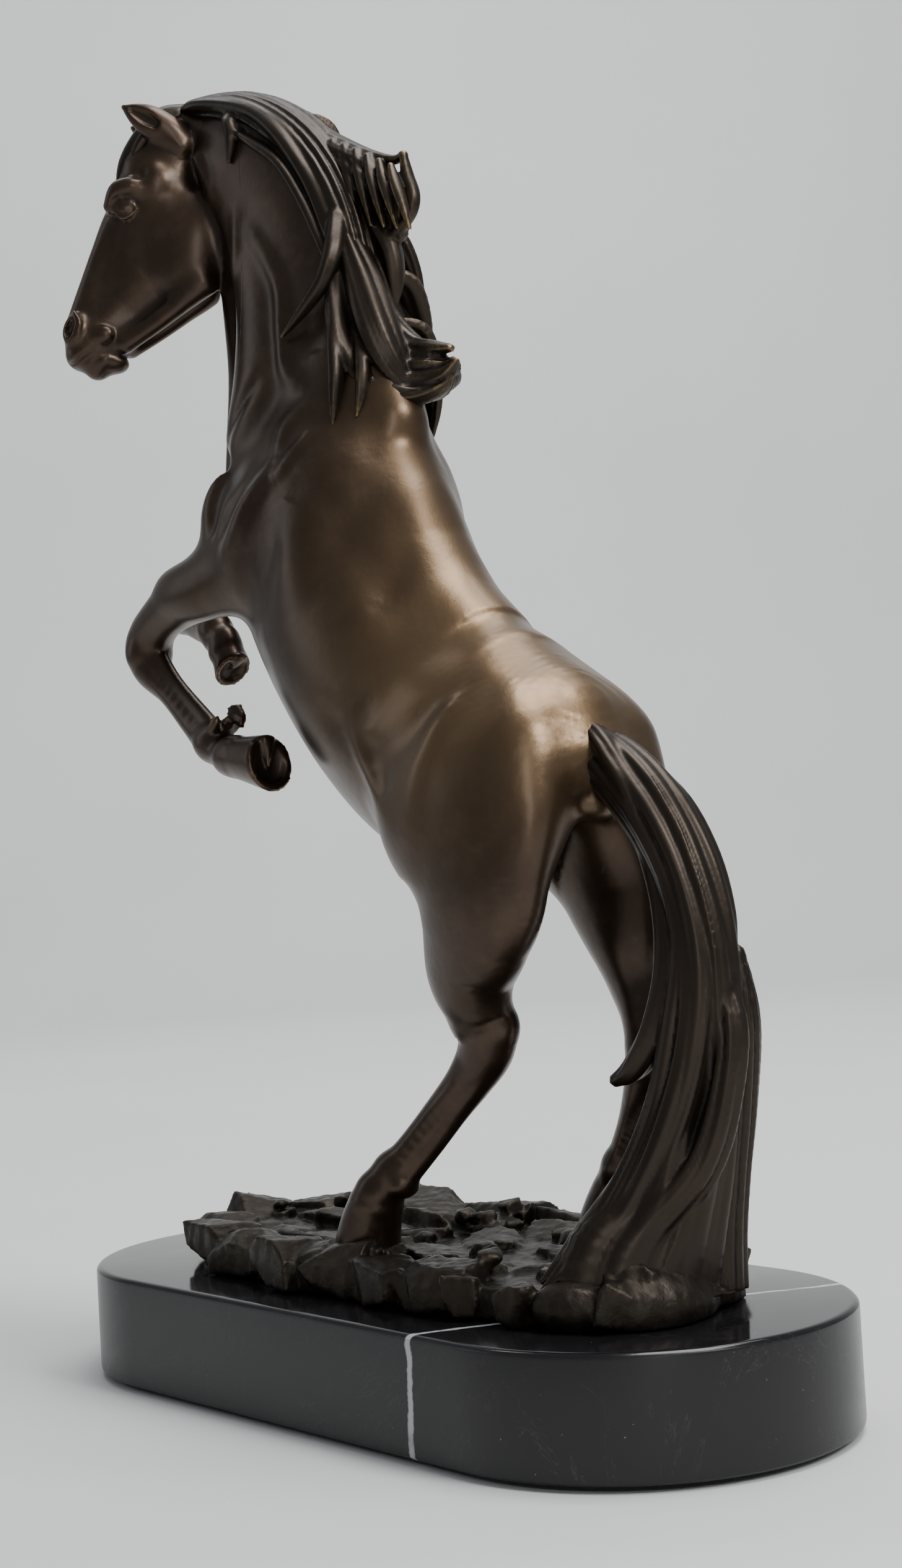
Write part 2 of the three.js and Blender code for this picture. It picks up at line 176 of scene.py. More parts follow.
def tube(stations, side=(0, -1, 0), k=3.0, cut=False, strands=0, relief=0.0, twist=0.0,
         phase=0.0, density=5):
    """A lofted tube. A station is x, y, z, depth, width; width lies along `side`.
    `strands` ridges of height `relief` run along it and turn by `twist` round it."""
    rows = catmull(stations, (len(stations) - 1) * density + 1)
    centre, half = rows[:, :3], np.maximum(rows[:, 3:5], 0.3)
    tangent = np.gradient(centre, axis=0)
    tangent /= np.linalg.norm(tangent, axis=1)[:, None]
    wide = np.array(side, float) - tangent * (tangent @ np.array(side, float))[:, None]
    wide /= np.linalg.norm(wide, axis=1)[:, None]
    deep = np.cross(wide, tangent)
    last = len(centre) - 1
    reach = half.max() + relief + 1

    def part(p):
        d2 = (p ** 2).sum(1)[:, None] - 2 * p @ centre.T + (centre ** 2).sum(1)[None]
        i = d2.argmin(1)
        ax = ((p - centre[i]) * tangent[i]).sum(1)
        j = np.clip(i + np.where(ax > 0, 1, -1), 0, last)
        span = np.linalg.norm(centre[j] - centre[i], axis=1)
        w = np.where(j != i, np.clip(np.abs(ax) / np.maximum(span, 1e-6), 0, 0.5), 0.0)
        wc = w[:, None]

        def mix(v):
            return v[i] * (1 - wc) + v[j] * wc
        rel = p - mix(centre)
        x, y = (rel * mix(deep)).sum(1), (rel * mix(wide)).sum(1)
        ended = j == i
        z = np.where(ended, (rel * tangent[i]).sum(1), 0.0)
        ab = mix(half)
        if strands:
            angle = np.arctan2(y / ab[:, 1], x / ab[:, 0])
            s = (i + (j - i) * w) / last
            a1 = strands * 0.5 * angle + twist * s * 6.283 + phase
            a2 = strands * 1.3 * 0.5 * angle - twist * s * 4.1 + phase * 1.7 + 3 * s
            wave = 0.62 * np.abs(np.sin(a1)) + 0.38 * np.abs(np.sin(a2)) - 0.45
            ab = ab + (relief * wave * np.minimum(1, ab.min(1) / 4))[:, None]
        q = np.stack([x, y, z], 1)
        size = np.concatenate([ab, ab.min(1)[:, None]], 1)
        return ellipse_distance(q, np.maximum(size, 0.25))

    def distance(p):
        out = np.empty(len(p))
        for start in range(0, len(p), 60000):
            out[start:start + 60000] = part(p[start:start + 60000])
        return out
    return Prim(distance, centre.min(0) - reach, centre.max(0) + reach, k, cut)


def swell(points, height, width):
    """A soft ridge along a line, or a furrow where height is below zero; it fades at its ends."""
    line = catmull(points, (len(points) - 1) * 8 + 1)
    fade = np.sin(np.pi * np.linspace(0.06, 0.94, len(line))) ** 0.7

    def amount(p):
        d2 = (p ** 2).sum(1)[:, None] - 2 * p @ line.T + (line ** 2).sum(1)[None]
        i = d2.argmin(1)
        return height * fade[i] * np.exp(-d2[np.arange(len(p)), i] / width ** 2)
    reach = 2.4 * width
    return Prim(amount, line.min(0) - reach, line.max(0) + reach, 0.0, soft=True)


def both_swells(points, height, width):
    """The same swell on the left and the right."""
    made = []
    for hand in (-1, 1):
        made.append(swell([(x, y * hand, z) for x, y, z in points], height, width))
    return made


def both(make, centre, *rest, **more):
    """The same shape on the left and the right of the median plane."""
    made = []
    for hand in (-1, 1):
        x, y, z = centre
        turn = more.get("turn", (0, 0, 0))
        args = dict(more, turn=(turn[0] * hand, turn[1], turn[2] * hand))
        made.append(make((x, y * hand, z), *rest, **args))
    return made


def both_tubes(stations, **more):
    made = []
    for hand in (-1, 1):
        rows = [[s[0], s[1] * hand] + list(s[2:]) for s in stations]
        made.append(tube(rows, **more))
    return made


def field(points, prims, pad=7.0):
    """The distance of each point from all the prims together; a prim is only looked at within
    `pad` of its box."""
    d = np.full(len(points), FAR)
    for prim in prims:
        room = 0.0 if prim.soft else prim.k + (1.0 if prim.cut else pad)
        low, high = prim.low - room, prim.high + room
        at = np.flatnonzero((points[:, 2] > low[2]) & (points[:, 2] < high[2]))
        near = points[at]
        at = at[((near[:, :2] > low[:2]) & (near[:, :2] < high[:2])).all(1)]
        if not len(at):
            continue
        v = prim.distance(points[at])
        if prim.soft:
            d[at] -= v
        elif prim.cut:
            d[at] = -smooth_min(-d[at], v, prim.k)
        else:
            d[at] = smooth_min(d[at], v, prim.k)
    return d


def group(prims, k):
    """Several prims as one, so that their cuts reach nothing else."""
    low, high = extent(prims, 0.0)
    return Prim(lambda p: field(p, prims), low, high, k)


def into(prims, rotation, origin):
    """Prims given in a local frame, placed by a rotation and an origin."""
    placed = []
    for prim in prims:
        corners = np.array([[x, y, z] for x in (prim.low[0], prim.high[0])
                            for y in (prim.low[1], prim.high[1])
                            for z in (prim.low[2], prim.high[2])])
        world = corners @ rotation.T + origin

        def distance(p, own=prim.distance):
            return own((p - origin) @ rotation)
        placed.append(Prim(distance, world.min(0), world.max(0), prim.k, prim.cut, prim.soft))
    return placed


def sculpt(function, low, high, voxel):
    """Meshes the zero surface of function(points, pad): coarse first, then fine near it."""
    low, high = np.array(low, float), np.array(high, float)
    n = (np.ceil((high - low) / (voxel * 4)).astype(int) + 1)
    values = None
    for level, step in ((0, 4), (1, 2), (2, 1)):
        shape = n * (4 // step)
        h = voxel * step
        if values is None:
            wanted = np.ones(shape, bool)
            values = np.full(shape, FAR, np.float32)
        else:
            values = values.repeat(2, 0).repeat(2, 1).repeat(2, 2)
            wanted = np.abs(values) < h * 2 * 1.9
        index = np.argwhere(wanted)
        offset = (step - 1) * 0.5 * voxel
        points = low + index * h + offset
        out = np.empty(len(points), np.float32)
        for start in range(0, len(points), 400000):
            out[start:start + 400000] = function(points[start:start + 400000], 2.5 * h)
        values[wanted] = out
    grid = openvdb.FloatGrid(BAND)
    grid.copyFromArray(np.clip(values, -BAND, BAND))
    verts, quads = grid.convertToQuads(isovalue=0.0)
    return low + verts.astype(float) * voxel, quads


def shells(count, edges):
    """The shell each vertex belongs to, by spreading the lowest index along the edges."""
    label = np.arange(count)
    a, b = edges[:, 0], edges[:, 1]
    while True:
        low = np.minimum(label[a], label[b])
        new = label.copy()
        np.minimum.at(new, a, low)
        np.minimum.at(new, b, low)
        new = new[new]
        new = new[new]
        if np.array_equal(new, label):
            return label
        label = new


def edges_of(quads):
    ends = np.concatenate([quads[:, [0, 1]], quads[:, [1, 2]], quads[:, [2, 3]], quads[:, [3, 0]]])
    return np.unique(np.sort(ends, axis=1), axis=0)


def largest_shell(verts, quads):
    label = shells(len(verts), edges_of(quads))
    sizes = np.bincount(label, minlength=len(verts))
    keep = label == sizes.argmax()
    index = np.cumsum(keep) - 1
    return verts[keep], index[quads[keep[quads[:, 0]]]]


def outward(verts, quads):
    """Vertex normals; the quads are turned round if they face inwards."""
    diagonal_a = verts[quads[:, 2]] - verts[quads[:, 0]]
    diagonal_b = verts[quads[:, 3]] - verts[quads[:, 1]]
    normal = np.cross(diagonal_a, diagonal_b) / 2
    if (normal * verts[quads].mean(1)).sum() < 0:
        quads, normal = quads[:, ::-1], -normal
    total = np.zeros_like(verts)
    for axis in range(3):
        for corner in range(4):
            total[:, axis] += np.bincount(quads[:, corner], normal[:, axis], len(verts))
    return quads, total / np.maximum(np.linalg.norm(total, axis=1), 1e-9)[:, None]


def relief_of(verts, quads, normals, rounds):
    """How far each vertex stands proud of its averaged surroundings, in mm."""
    edges = edges_of(quads)
    a, b, n = edges[:, 0], edges[:, 1], len(verts)
    count = np.bincount(a, minlength=n) + np.bincount(b, minlength=n)
    moved = verts.copy()
    for _ in range(rounds):
        for axis in range(3):
            column = moved[:, axis]
            near = np.bincount(a, column[b], n) + np.bincount(b, column[a], n)
            moved[:, axis] = 0.5 * column + 0.5 * near / count
    return ((verts - moved) * normals).sum(1)


def mesh_object(name, verts, quads, voxel):
    """A mesh in metres from millimetre points, with its relief kept as two attributes."""
    verts, quads = largest_shell(verts, quads)
    quads, normals = outward(verts, quads)
    mesh = bpy.data.meshes.new(name)
    mesh.from_pydata((verts * MM).tolist(), [], quads.tolist())
    for label, width in (("ridge", 0.9), ("hollow", 3.2)):
        rounds = max(2, int(round((width / voxel) ** 2 * 2)))
        layer = mesh.attributes.new(label, "FLOAT", "POINT")
        layer.data.foreach_set("value", relief_of(verts, quads, normals, rounds) / width)
    mesh.shade_smooth()
    return add_object(name, mesh)


def sculpted(name, prims, low, high, voxel):
    verts, quads = sculpt(lambda points, pad: field(points, prims, pad), low, high, voxel)
    return mesh_object(name, verts, quads, voxel)


def extent(prims, margin=3.0):
    solid = [prim for prim in prims if not prim.cut]
    low = np.min([prim.low for prim in solid], axis=0) - margin
    high = np.max([prim.high for prim in solid], axis=0) + margin
    return low, high


# ---- the horse's body --------------------------------------------------------
# Trunk stations run from the buttocks up to the chest; neck stations from chest to poll.
TRUNK = [
    (88, 0, 194, 6, 8), (82, 0, 201, 20, 24), (70, 0, 207, 31, 33), (49, 0, 212, 40, 37),
    (26, 0, 220, 45, 38), (3.5, 0, 238, 46, 38), (-15, 0, 262, 47.5, 37.5),
    (-28, 0, 285, 49, 36), (-40, 0, 305, 46, 34), (-50, 0, 322, 38, 28), (-57, 0, 333, 22, 17),
]
NECK = [
    (-34, 0, 300, 40, 26), (-37, 0, 330, 44, 24.5), (-41, 0, 356, 40, 20), (-45, -1, 382, 35, 17),
    (-51, -2, 406, 33, 15.5), (-62, -4, 426, 29, 14.5), (-75, -7, 440, 21, 13),
    (-86, -10, 449, 11, 9),
]


def trunk():
    made = [tube(TRUNK, k=4, density=14)]
    # Haunches, croup and the muscles down the back of the thigh.
    made += both(ball, (57, 21, 204), (32, 15.5, 36), turn=(0, -30, 0), k=10)
    made += both(ball, (44, 15.5, 224), (22, 12, 20), turn=(0, -40, 0), k=12)
    made += both(ball, (73, 16, 201), (14, 14.5, 23), turn=(0, -10, 0), k=8)
    made += both(ball, (37, 28, 192), (17, 11, 22), turn=(0, -12, 0), k=10)
    # Loin, filling the bend of the back.
    made.append(ball((33.2, 0, 253), (25, 16, 11), turn=(0, 45, 0), k=8))
    # Ribs, shoulder blade, upper arm and breast.
    made += both(ball, (-4, 24, 250), (24, 12.5, 36), turn=(0, -35, 0), k=12)
    made += both(ball, (-14, 18, 304), (18, 13, 19), turn=(0, 10, 0), k=10)
    made += both(ball, (-15, 24, 283), (13, 12, 25), turn=(0, -8, 0), k=10)
    made += both(ball, (-44, 26, 296), (20, 12, 18), turn=(0, 20, 0), k=9)
    made += both(ball, (-65, 21, 302), (15, 13, 17), k=9)
    made += both(ball, (-76, 12, 292), (14, 12, 22), turn=(0, -15, 0), k=6)
    # Hollow above the upper arm, furrows behind the shoulder blade and the elbow.
    made += both_swells([(-10, 37, 312), (-14, 39, 302)], -1.8, 7)
    made += both_swells([(4, 28, 312), (14, 24, 304), (22, 20, 292), (25, 22, 278), (21, 28, 264)],
                        -2.6, 5)
    made += both_swells([(4, 11, 338), (6, 14, 326), (8, 19, 314)], -1.6, 4)
    made += both_swells([(-22, 41, 286), (-30, 42, 272), (-46, 39, 263), (-58, 36, 262)], -2.4, 4.5)
    # Ridges over the shoulder and the front of the breast.
    made += both_swells([(-36, 24, 349), (-50, 26, 338), (-60, 30, 326), (-66, 32, 313),
                         (-70, 30, 298)], 3, 4.4)
    made += both_swells([(-56, 35, 322), (-60, 36, 308), (-62, 34, 294)], -2.4, 3.4)
    made += both_swells([(-28, 34, 318), (-36, 37, 307), (-44, 38, 296), (-54, 37, 285)], 2.8, 4.4)
    made += both_swells([(-36, 38, 318), (-46, 38, 306), (-55, 37, 294)], -2.2, 3.6)
    made += both_swells([(-9, 18, 340), (-19, 23, 337), (-27, 27, 331), (-28, 31, 320)], 2.4, 3.8)
    made += both_swells([(-14, 27, 327), (-20, 31, 319), (-26, 34, 311)], 1.8, 3.2)
    # The flat of the loin and croup beside the spine, and the furrow down the breast.
    made += both_swells([(-2, 22, 326), (8, 26, 306), (14, 26, 280), (34, 28, 262),
                         (52, 28, 247), (68, 30, 228), (80, 32, 208)], -2.8, 15)
    made.append(swell([(-96, 0, 306), (-96, 0, 290), (-86, 0, 270)], -3, 4.5))
    # Back edge of the ribs, flank hollow, fold of skin to the stifle, front of the thigh.
    made += both_swells([(4, 41, 228), (14, 42, 219), (24, 42.5, 213), (36, 42, 213), (48, 40, 219),
                         (57, 37, 228)], -2.6, 6)
    made += both_swells([(30, 42, 210), (34, 41, 200)], -1.6, 6)
    made += both_swells([(14, 37, 222), (20, 37.5, 211), (28, 36, 201), (36, 35, 190)], 2.4, 3.4)
    made += both_swells([(64, 34, 230), (56, 38, 216), (50, 39, 203), (45, 39, 188)], 2.6, 4.6)
    made += both_swells([(20, 42, 232), (26, 43, 224)], -1.2, 6)
    made += both_swells([(60, 36, 224), (56, 38, 214)], 1, 4)
    # Groove between the two thigh muscles, and the crease under the tail.
    made += both_swells([(88, 30, 196), (83, 37, 182), (74, 41, 170), (66, 41, 156)], -1.8, 5)
    made += both_swells([(54, 41, 186), (50, 41, 172), (44, 38, 158)], -1.2, 5)
    # Belly seam and sheath.
    made.append(tube([(-52, 0, 226, 2, 2), (-34, 0, 206, 4, 3), (-12, 0, 192, 5, 4)], k=9))
    return made


def neck():
    made = [tube(NECK, k=10, density=14)]
    # Crest, the long muscle from the jaw to the shoulder, the windpipe.
    made.append(tube([(2, 0, 330, 7, 8), (-10, 2, 352, 5, 6), (-19, 3, 384, 4, 5),
                      (-29, 3, 410, 4, 5), (-44, 1, 430, 4.5, 5.5), (-62, -3, 443, 5, 6)], k=8))
    made += both_tubes([(-74, 10, 424, 6, 5), (-62, 12, 400, 9, 5.5), (-56, 14, 380, 10, 6),
                        (-54, 17, 356, 12, 6.5), (-56, 20, 332, 12, 8)], k=8)
    made.append(tube([(-82, -4, 408, 7, 7), (-82, -3, 386, 6.5, 7.5), (-83, -1, 362, 6.5, 8),
                      (-86, 0, 340, 7, 9), (-88, 0, 316, 8, 10)], k=7))
    # The raised edge down the side of the neck, with hollows beside it.
    made += both_swells([(-54, 17, 406), (-45, 18, 395), (-38, 18.5, 382), (-36, 20, 366),
                         (-33, 22, 351), (-24, 23, 345)], 2.2, 3.6)
    made += both_swells([(-24, 19, 370), (-22, 21, 355)], -2, 6)
    made += both_swells([(-76, 15, 416), (-71, 18, 396), (-70, 21, 372), (-71, 22, 350),
                         (-74, 23, 334)], -2.8, 3.4)
    made += both_swells([(-62, 17, 414), (-62, 18, 402), (-66, 17, 390)], 1.4, 3)
    made += both_swells([(-46, 20, 352), (-55, 23, 341), (-63, 25, 330)], -2, 3.6)
    return made


# ---- legs ----------------------------------------------------------------------
LEFT_FORELEG = [
    (-52, -26, 285, 15, 10.5), (-72, -28.5, 283, 13.5, 10), (-92, -29, 279, 10.5, 9),
    (-108, -28.5, 273.5, 8.6, 8), (-119, -27, 266.5, 9, 8.2), (-118.5, -27, 257, 8, 7.4),
    (-106, -27, 246, 5.4, 5), (-92, -27, 233.5, 5.4, 5), (-81, -27, 225.5, 6.6, 6.2),
    (-72, -27.5, 220.5, 5.6, 6), (-64, -28, 218.5, 6.4, 7),
]
RIGHT_FORELEG = [
    (-58, 26, 290, 15, 10.5), (-86, 24, 291, 12.5, 10), (-116, 20, 290.5, 10, 9),
    (-142, 16.5, 290, 8.4, 8), (-155, 14, 288.3, 8.8, 8.4), (-154.6, 11.5, 281.5, 7.6, 7.2),
    (-142, 8, 277.5, 5.4, 5), (-131, 6.2, 274.8, 5.6, 5.4), (-122.5, 5, 271.5, 6.4, 6.2),
    (-118, 4.5, 266.5, 5.6, 6), (-115.5, 4.2, 262.5, 6.2, 6.8),
]
LEFT_HIND_LEG = [
    (56, -23, 207, 29, 15), (60, -25, 187, 30.5, 15.5), (60.5, -26, 169, 27, 14.5),
    (55.5, -25, 155, 22, 13), (49.4, -22, 142.5, 16.4, 11.4), (47, -18.4, 130, 12, 9.2),
    (47.5, -15.5, 120, 10.6, 8), (38.5, -16, 108, 8, 6.9), (26.5, -19.5, 95.5, 6.6, 6),
    (15.5, -23.5, 83.5, 6.4, 5.9), (9, -26, 77, 7, 6.6), (5, -27.5, 71, 6.4, 6.8),
    (1.5, -28.5, 64, 7.6, 8),
]
RIGHT_HIND_LEG = [
    (58, 23, 207, 29, 15), (64, 24.5, 185, 28, 15), (70, 24, 166, 22, 13),
    (75, 24, 150, 16.5, 11.5), (79, 24, 136.5, 11.5, 8.8), (83, 23, 125, 10.4, 8.2),
    (84.5, 22.3, 114.5, 10.6, 8), (79.5, 23, 103.5, 8, 6.9), (73.5, 24, 92, 6.6, 6),
    (67.5, 25, 82, 6.4, 5.9), (63.5, 26, 76, 7, 6.6), (59.5, 27, 70, 6.4, 6.8),
    (56, 28, 63, 7.6, 8),
]


def shifted(base, dx, dy, dz):
    return (base[0] + dx, base[1] + dy, base[2] + dz)


def foreleg(stations, hand, palm):
    """palm is the unit direction of the back of the cannon, in the leg's plane."""
    knee, shank, fetlock = stations[4], stations[6], stations[8]
    px, pz = palm
    y = hand
    made = [tube(stations, k=8, density=9)]
    # Forearm muscles and the knee with its flat front.
    fore = stations[2]
    made.append(ball(shifted(fore, 6, 2.5 * y, 1.5), (17, 6.5, 9), turn=(0, 12, 0), k=4))
    made.append(ball(shifted(knee, -1.5, 0, -3), (8.8, 7.6, 9.4), k=2.5))
    made.append(ball(shifted(knee, px * 6, 0, pz * 6 - 2), (3.4, 4.6, 4.2), k=2.5))
    for side in (-1, 1):
        made.append(ball(shifted(knee, -1, side * 6.2, -5), (4.2, 2.4, 4.6), k=2))
    # Tendons behind the cannon, with a groove between bone and tendon.
    made.append(tube([(knee[0] + px * 5, knee[1], knee[2] - 6 + pz * 5, 2.8, 3),
                      (shank[0] + px * 5, shank[1], shank[2] + pz * 5, 2.2, 2.6),
                      (fetlock[0] + px * 5.5, fetlock[1], fetlock[2] + pz * 5.5, 2.6, 3)], k=1.6))
    for side in (-1, 1):
        dy = side * 5.2
        made.append(swell([(knee[0] + px * 2.6, knee[1] + dy, knee[2] - 10 + pz * 2.6),
                           (shank[0] + px * 2.6, shank[1] + dy, shank[2] + pz * 2.6),
                           (fetlock[0] + px * 2, fetlock[1] + dy * 1.1, fetlock[2] + pz * 2)],
                          -0.9, 1.6))
    # Fetlock joint.
    made.append(ball(fetlock[:3], (6.8, 6.6, 6.8), k=2.5))
    made.append(ball(shifted(fetlock, px * 5.5, 0, pz * 5.5), (3.8, 5.4, 3.8), k=2))
    return made


def hind_leg(stations, hand):
    hock, shank, fetlock, gaskin = stations[6], stations[8], stations[10], stations[4]
    made = [tube(stations, k=11, density=10)]
    # Second thigh: outer muscle, the hamstring cord down to the point of hock.
    made.append(ball(shifted(gaskin, -2.5, hand * 2.4, 8), (10, 6.5, 18), turn=(0, 14, 0), k=7))
    heel = shifted(hock, 9.4, 0, 5.6)
    made.append(tube([(gaskin[0] + 18, gaskin[1], gaskin[2] + 16, 4, 4),
                      (gaskin[0] + 12.5, gaskin[1], gaskin[2] + 1, 2.8, 2.8),
                      (heel[0] - 1, heel[1], heel[2] + 3, 2.8, 3),
                      (heel[0] - 1, *heel[1:], 3, 3.4)],
                     k=5))
    made.append(ball((heel[0] - 2, *heel[1:]), (4, 4.2, 5.4), k=5))
    # Hollow between the cord and the bone.
    for side in (-1, 1):
        made.append(swell([(gaskin[0] + 12, gaskin[1] + side * 8.5, gaskin[2] + 8),
                           (gaskin[0] + 8.5, gaskin[1] + side * 7.5, gaskin[2] - 4),
                           (gaskin[0] + 6.5, gaskin[1] + side * 7.4, gaskin[2] - 15)], -0.6, 4.5))
    # Flesh that carries the gaskin smoothly into the hock.
    made.append(swell([(gaskin[0] + 8, gaskin[1] + hand * 9, gaskin[2] - 3),
                       (gaskin[0] + 5, gaskin[1] + hand * 5, gaskin[2] - 11),
                       (gaskin[0] + 5, gaskin[1] + hand * 1, gaskin[2] - 19)], 1.7, 6))
    made.append(ball(shifted(hock, -1, 0, 0), (7.8, 7.2, 9.5), turn=(0, 25, 0), k=2.5))
    made.append(ball(shifted(hock, -1, -hand * 4.6, -3), (4.5, 3, 5.5), k=2))
    # Tendons behind the cannon.
    made.append(tube([(hock[0] + 6, hock[1], hock[2] - 3, 3, 3),
                      (shank[0] + 4.6, shank[1], shank[2] - 3.6, 2.3, 2.6),
                      (fetlock[0] + 5, fetlock[1], fetlock[2] - 3.6, 2.8, 3)], k=1.6))
    for side in (-1, 1):
        made.append(swell([(hock[0] + 1, hock[1] + side * 5.8, hock[2] - 12),
                           (shank[0] + 1.8, shank[1] + side * 5.6, shank[2] - 1),
                           (fetlock[0] + 2, fetlock[1] + side * 6.2, fetlock[2] - 1)], -0.8, 1.8))
    made.append(ball(fetlock[:3], (7.2, 7, 7.2), k=2.5))
    made.append(ball(shifted(fetlock, 5, 0, -3.6), (4, 5.6, 4.2), k=2))
    return made


def standing_hoof(x, y, z):
    """A hoof set into the rock, with its coronet above, toe towards -X."""
    wall = [(x + 6.5, y, z + 14.5, 7.4, 7.8), (x + 3.6, y, z + 9, 9, 9.2),
            (x, y, z, 10.6, 10.6), (x - 2.6, y, z - 10, 11.8, 11.2)]
    band = [(x + 6, y, z + 13, 7.8, 8.1), (x + 5.4, y, z + 11.4, 8.4, 8.7)]
    return [tube(wall, k=2.5), tube(band, k=1.5, density=8)]


def free_hoof(coronet, sole, radius, up):
    """A hoof off the ground: a flared wall cut flat at the sole, with its frog.
    `up` is the direction of the heel across the sole."""
    coronet, sole, up = (np.array(v, float) for v in (coronet, sole, up))
    axis = (sole - coronet) / np.linalg.norm(sole - coronet)
    up = up - axis * (up @ axis)
    up /= np.linalg.norm(up)
    side = np.cross(axis, up)
    turn = np.stack([axis, side, up], 1)
    reach = np.linalg.norm(sole - coronet)
    r = radius
    local = [
        tube([(-3, 0, 0, r * 0.68, r * 0.7), (2, 0, -0.4, r * 0.76, r * 0.78),
              (reach * 0.6, 0, -1.2, r * 0.9, r * 0.9), (reach + 5, 0, -2.4, r * 1.08, r * 1.02)],
             side=(0, 1, 0), k=1.5),
        tube([(-1.2, 0, 0.2, r * 0.79, r * 0.8), (1.2, 0, 0.1, r * 0.8, r * 0.81)],
             side=(0, 1, 0), k=0.9, density=8),
        box((reach + 6, 0, 0), (6, 13, 13), turn=(0, -14, 0), k=0.6, cut=True),
        ball((reach + 0.6, 0, -1.6), (3, r * 0.7, r * 0.82), k=1, cut=True),
        tube([(reach - 1.4, 0, r * 0.62, 1.8, 3.2), (reach - 1.2, 0, 0, 1.5, 1.6),
              (reach - 1.6, 0, -r * 0.35, 1, 0.6)], side=(0, 1, 0), k=0.8),
    ]
    return [group(into(local, turn, coronet), 1.5)]


def feather(root, direction, count, length, seed):
    """A small tuft of hair: `count` strands from a root behind a fetlock."""
    rng = np.random.RandomState(seed)
    root, direction = np.array(root, float), np.array(direction, float)
    made = []
    for i in range(count):
        y = (i - (count - 1) / 2) * 2.1
        tip = root + direction * length * rng.uniform(0.75, 1.05) + rng.uniform(-1.2, 1.2, 3)
        mid = (root + tip) / 2 + np.array([1.4, 0, 1.2]) * rng.uniform(-0.6, 1)
        rows = [(root[0], root[1] + y, root[2], 2, 1.8),
                (mid[0], mid[1] + y * 1.2, mid[2], 1.7, 1.5),
                (tip[0], tip[1] + y * 1.1, tip[2], 0.5, 0.5)]
        made.append(tube(rows, k=0.7))
    return made


def legs():
    made = foreleg(LEFT_FORELEG, -1, (0.68, 0.73))
    made += foreleg(RIGHT_FORELEG, 1, (0.25, -0.97))
    made += hind_leg(LEFT_HIND_LEG, -1)
    made += hind_leg(RIGHT_HIND_LEG, 1)
    made += free_hoof((-66, -28, 219.5), (-45, -28, 218), 9.6, (0.3, 0, 1))
    made += free_hoof((-115, 4.3, 266), (-109, 4, 256), 7.4, (0.8, 0, 0.6))
    made += standing_hoof(-2, -29, 57)
    made += standing_hoof(53.5, 28.5, 57)
    made += feather((-75, -27, 230), (0.7, 0, 0.6), 5, 6, 4)
    return made


# ---- head, in its own frame: poll at the origin, nose towards -X ------------------
SKULL = [
    (-6, 0, 2, 8, 8), (-13, 0, -10, 13, 12), (-17, 0, -23, 16, 14), (-19.5, 0, -37, 19, 12.5),
    (-25.5, 0, -51, 17.5, 10), (-35, 0, -62, 13.2, 8.2), (-42, 0, -72, 11, 8.2),
    (-44.5, 0, -80, 9, 7.5), (-44, 0, -85, 5, 5),
]


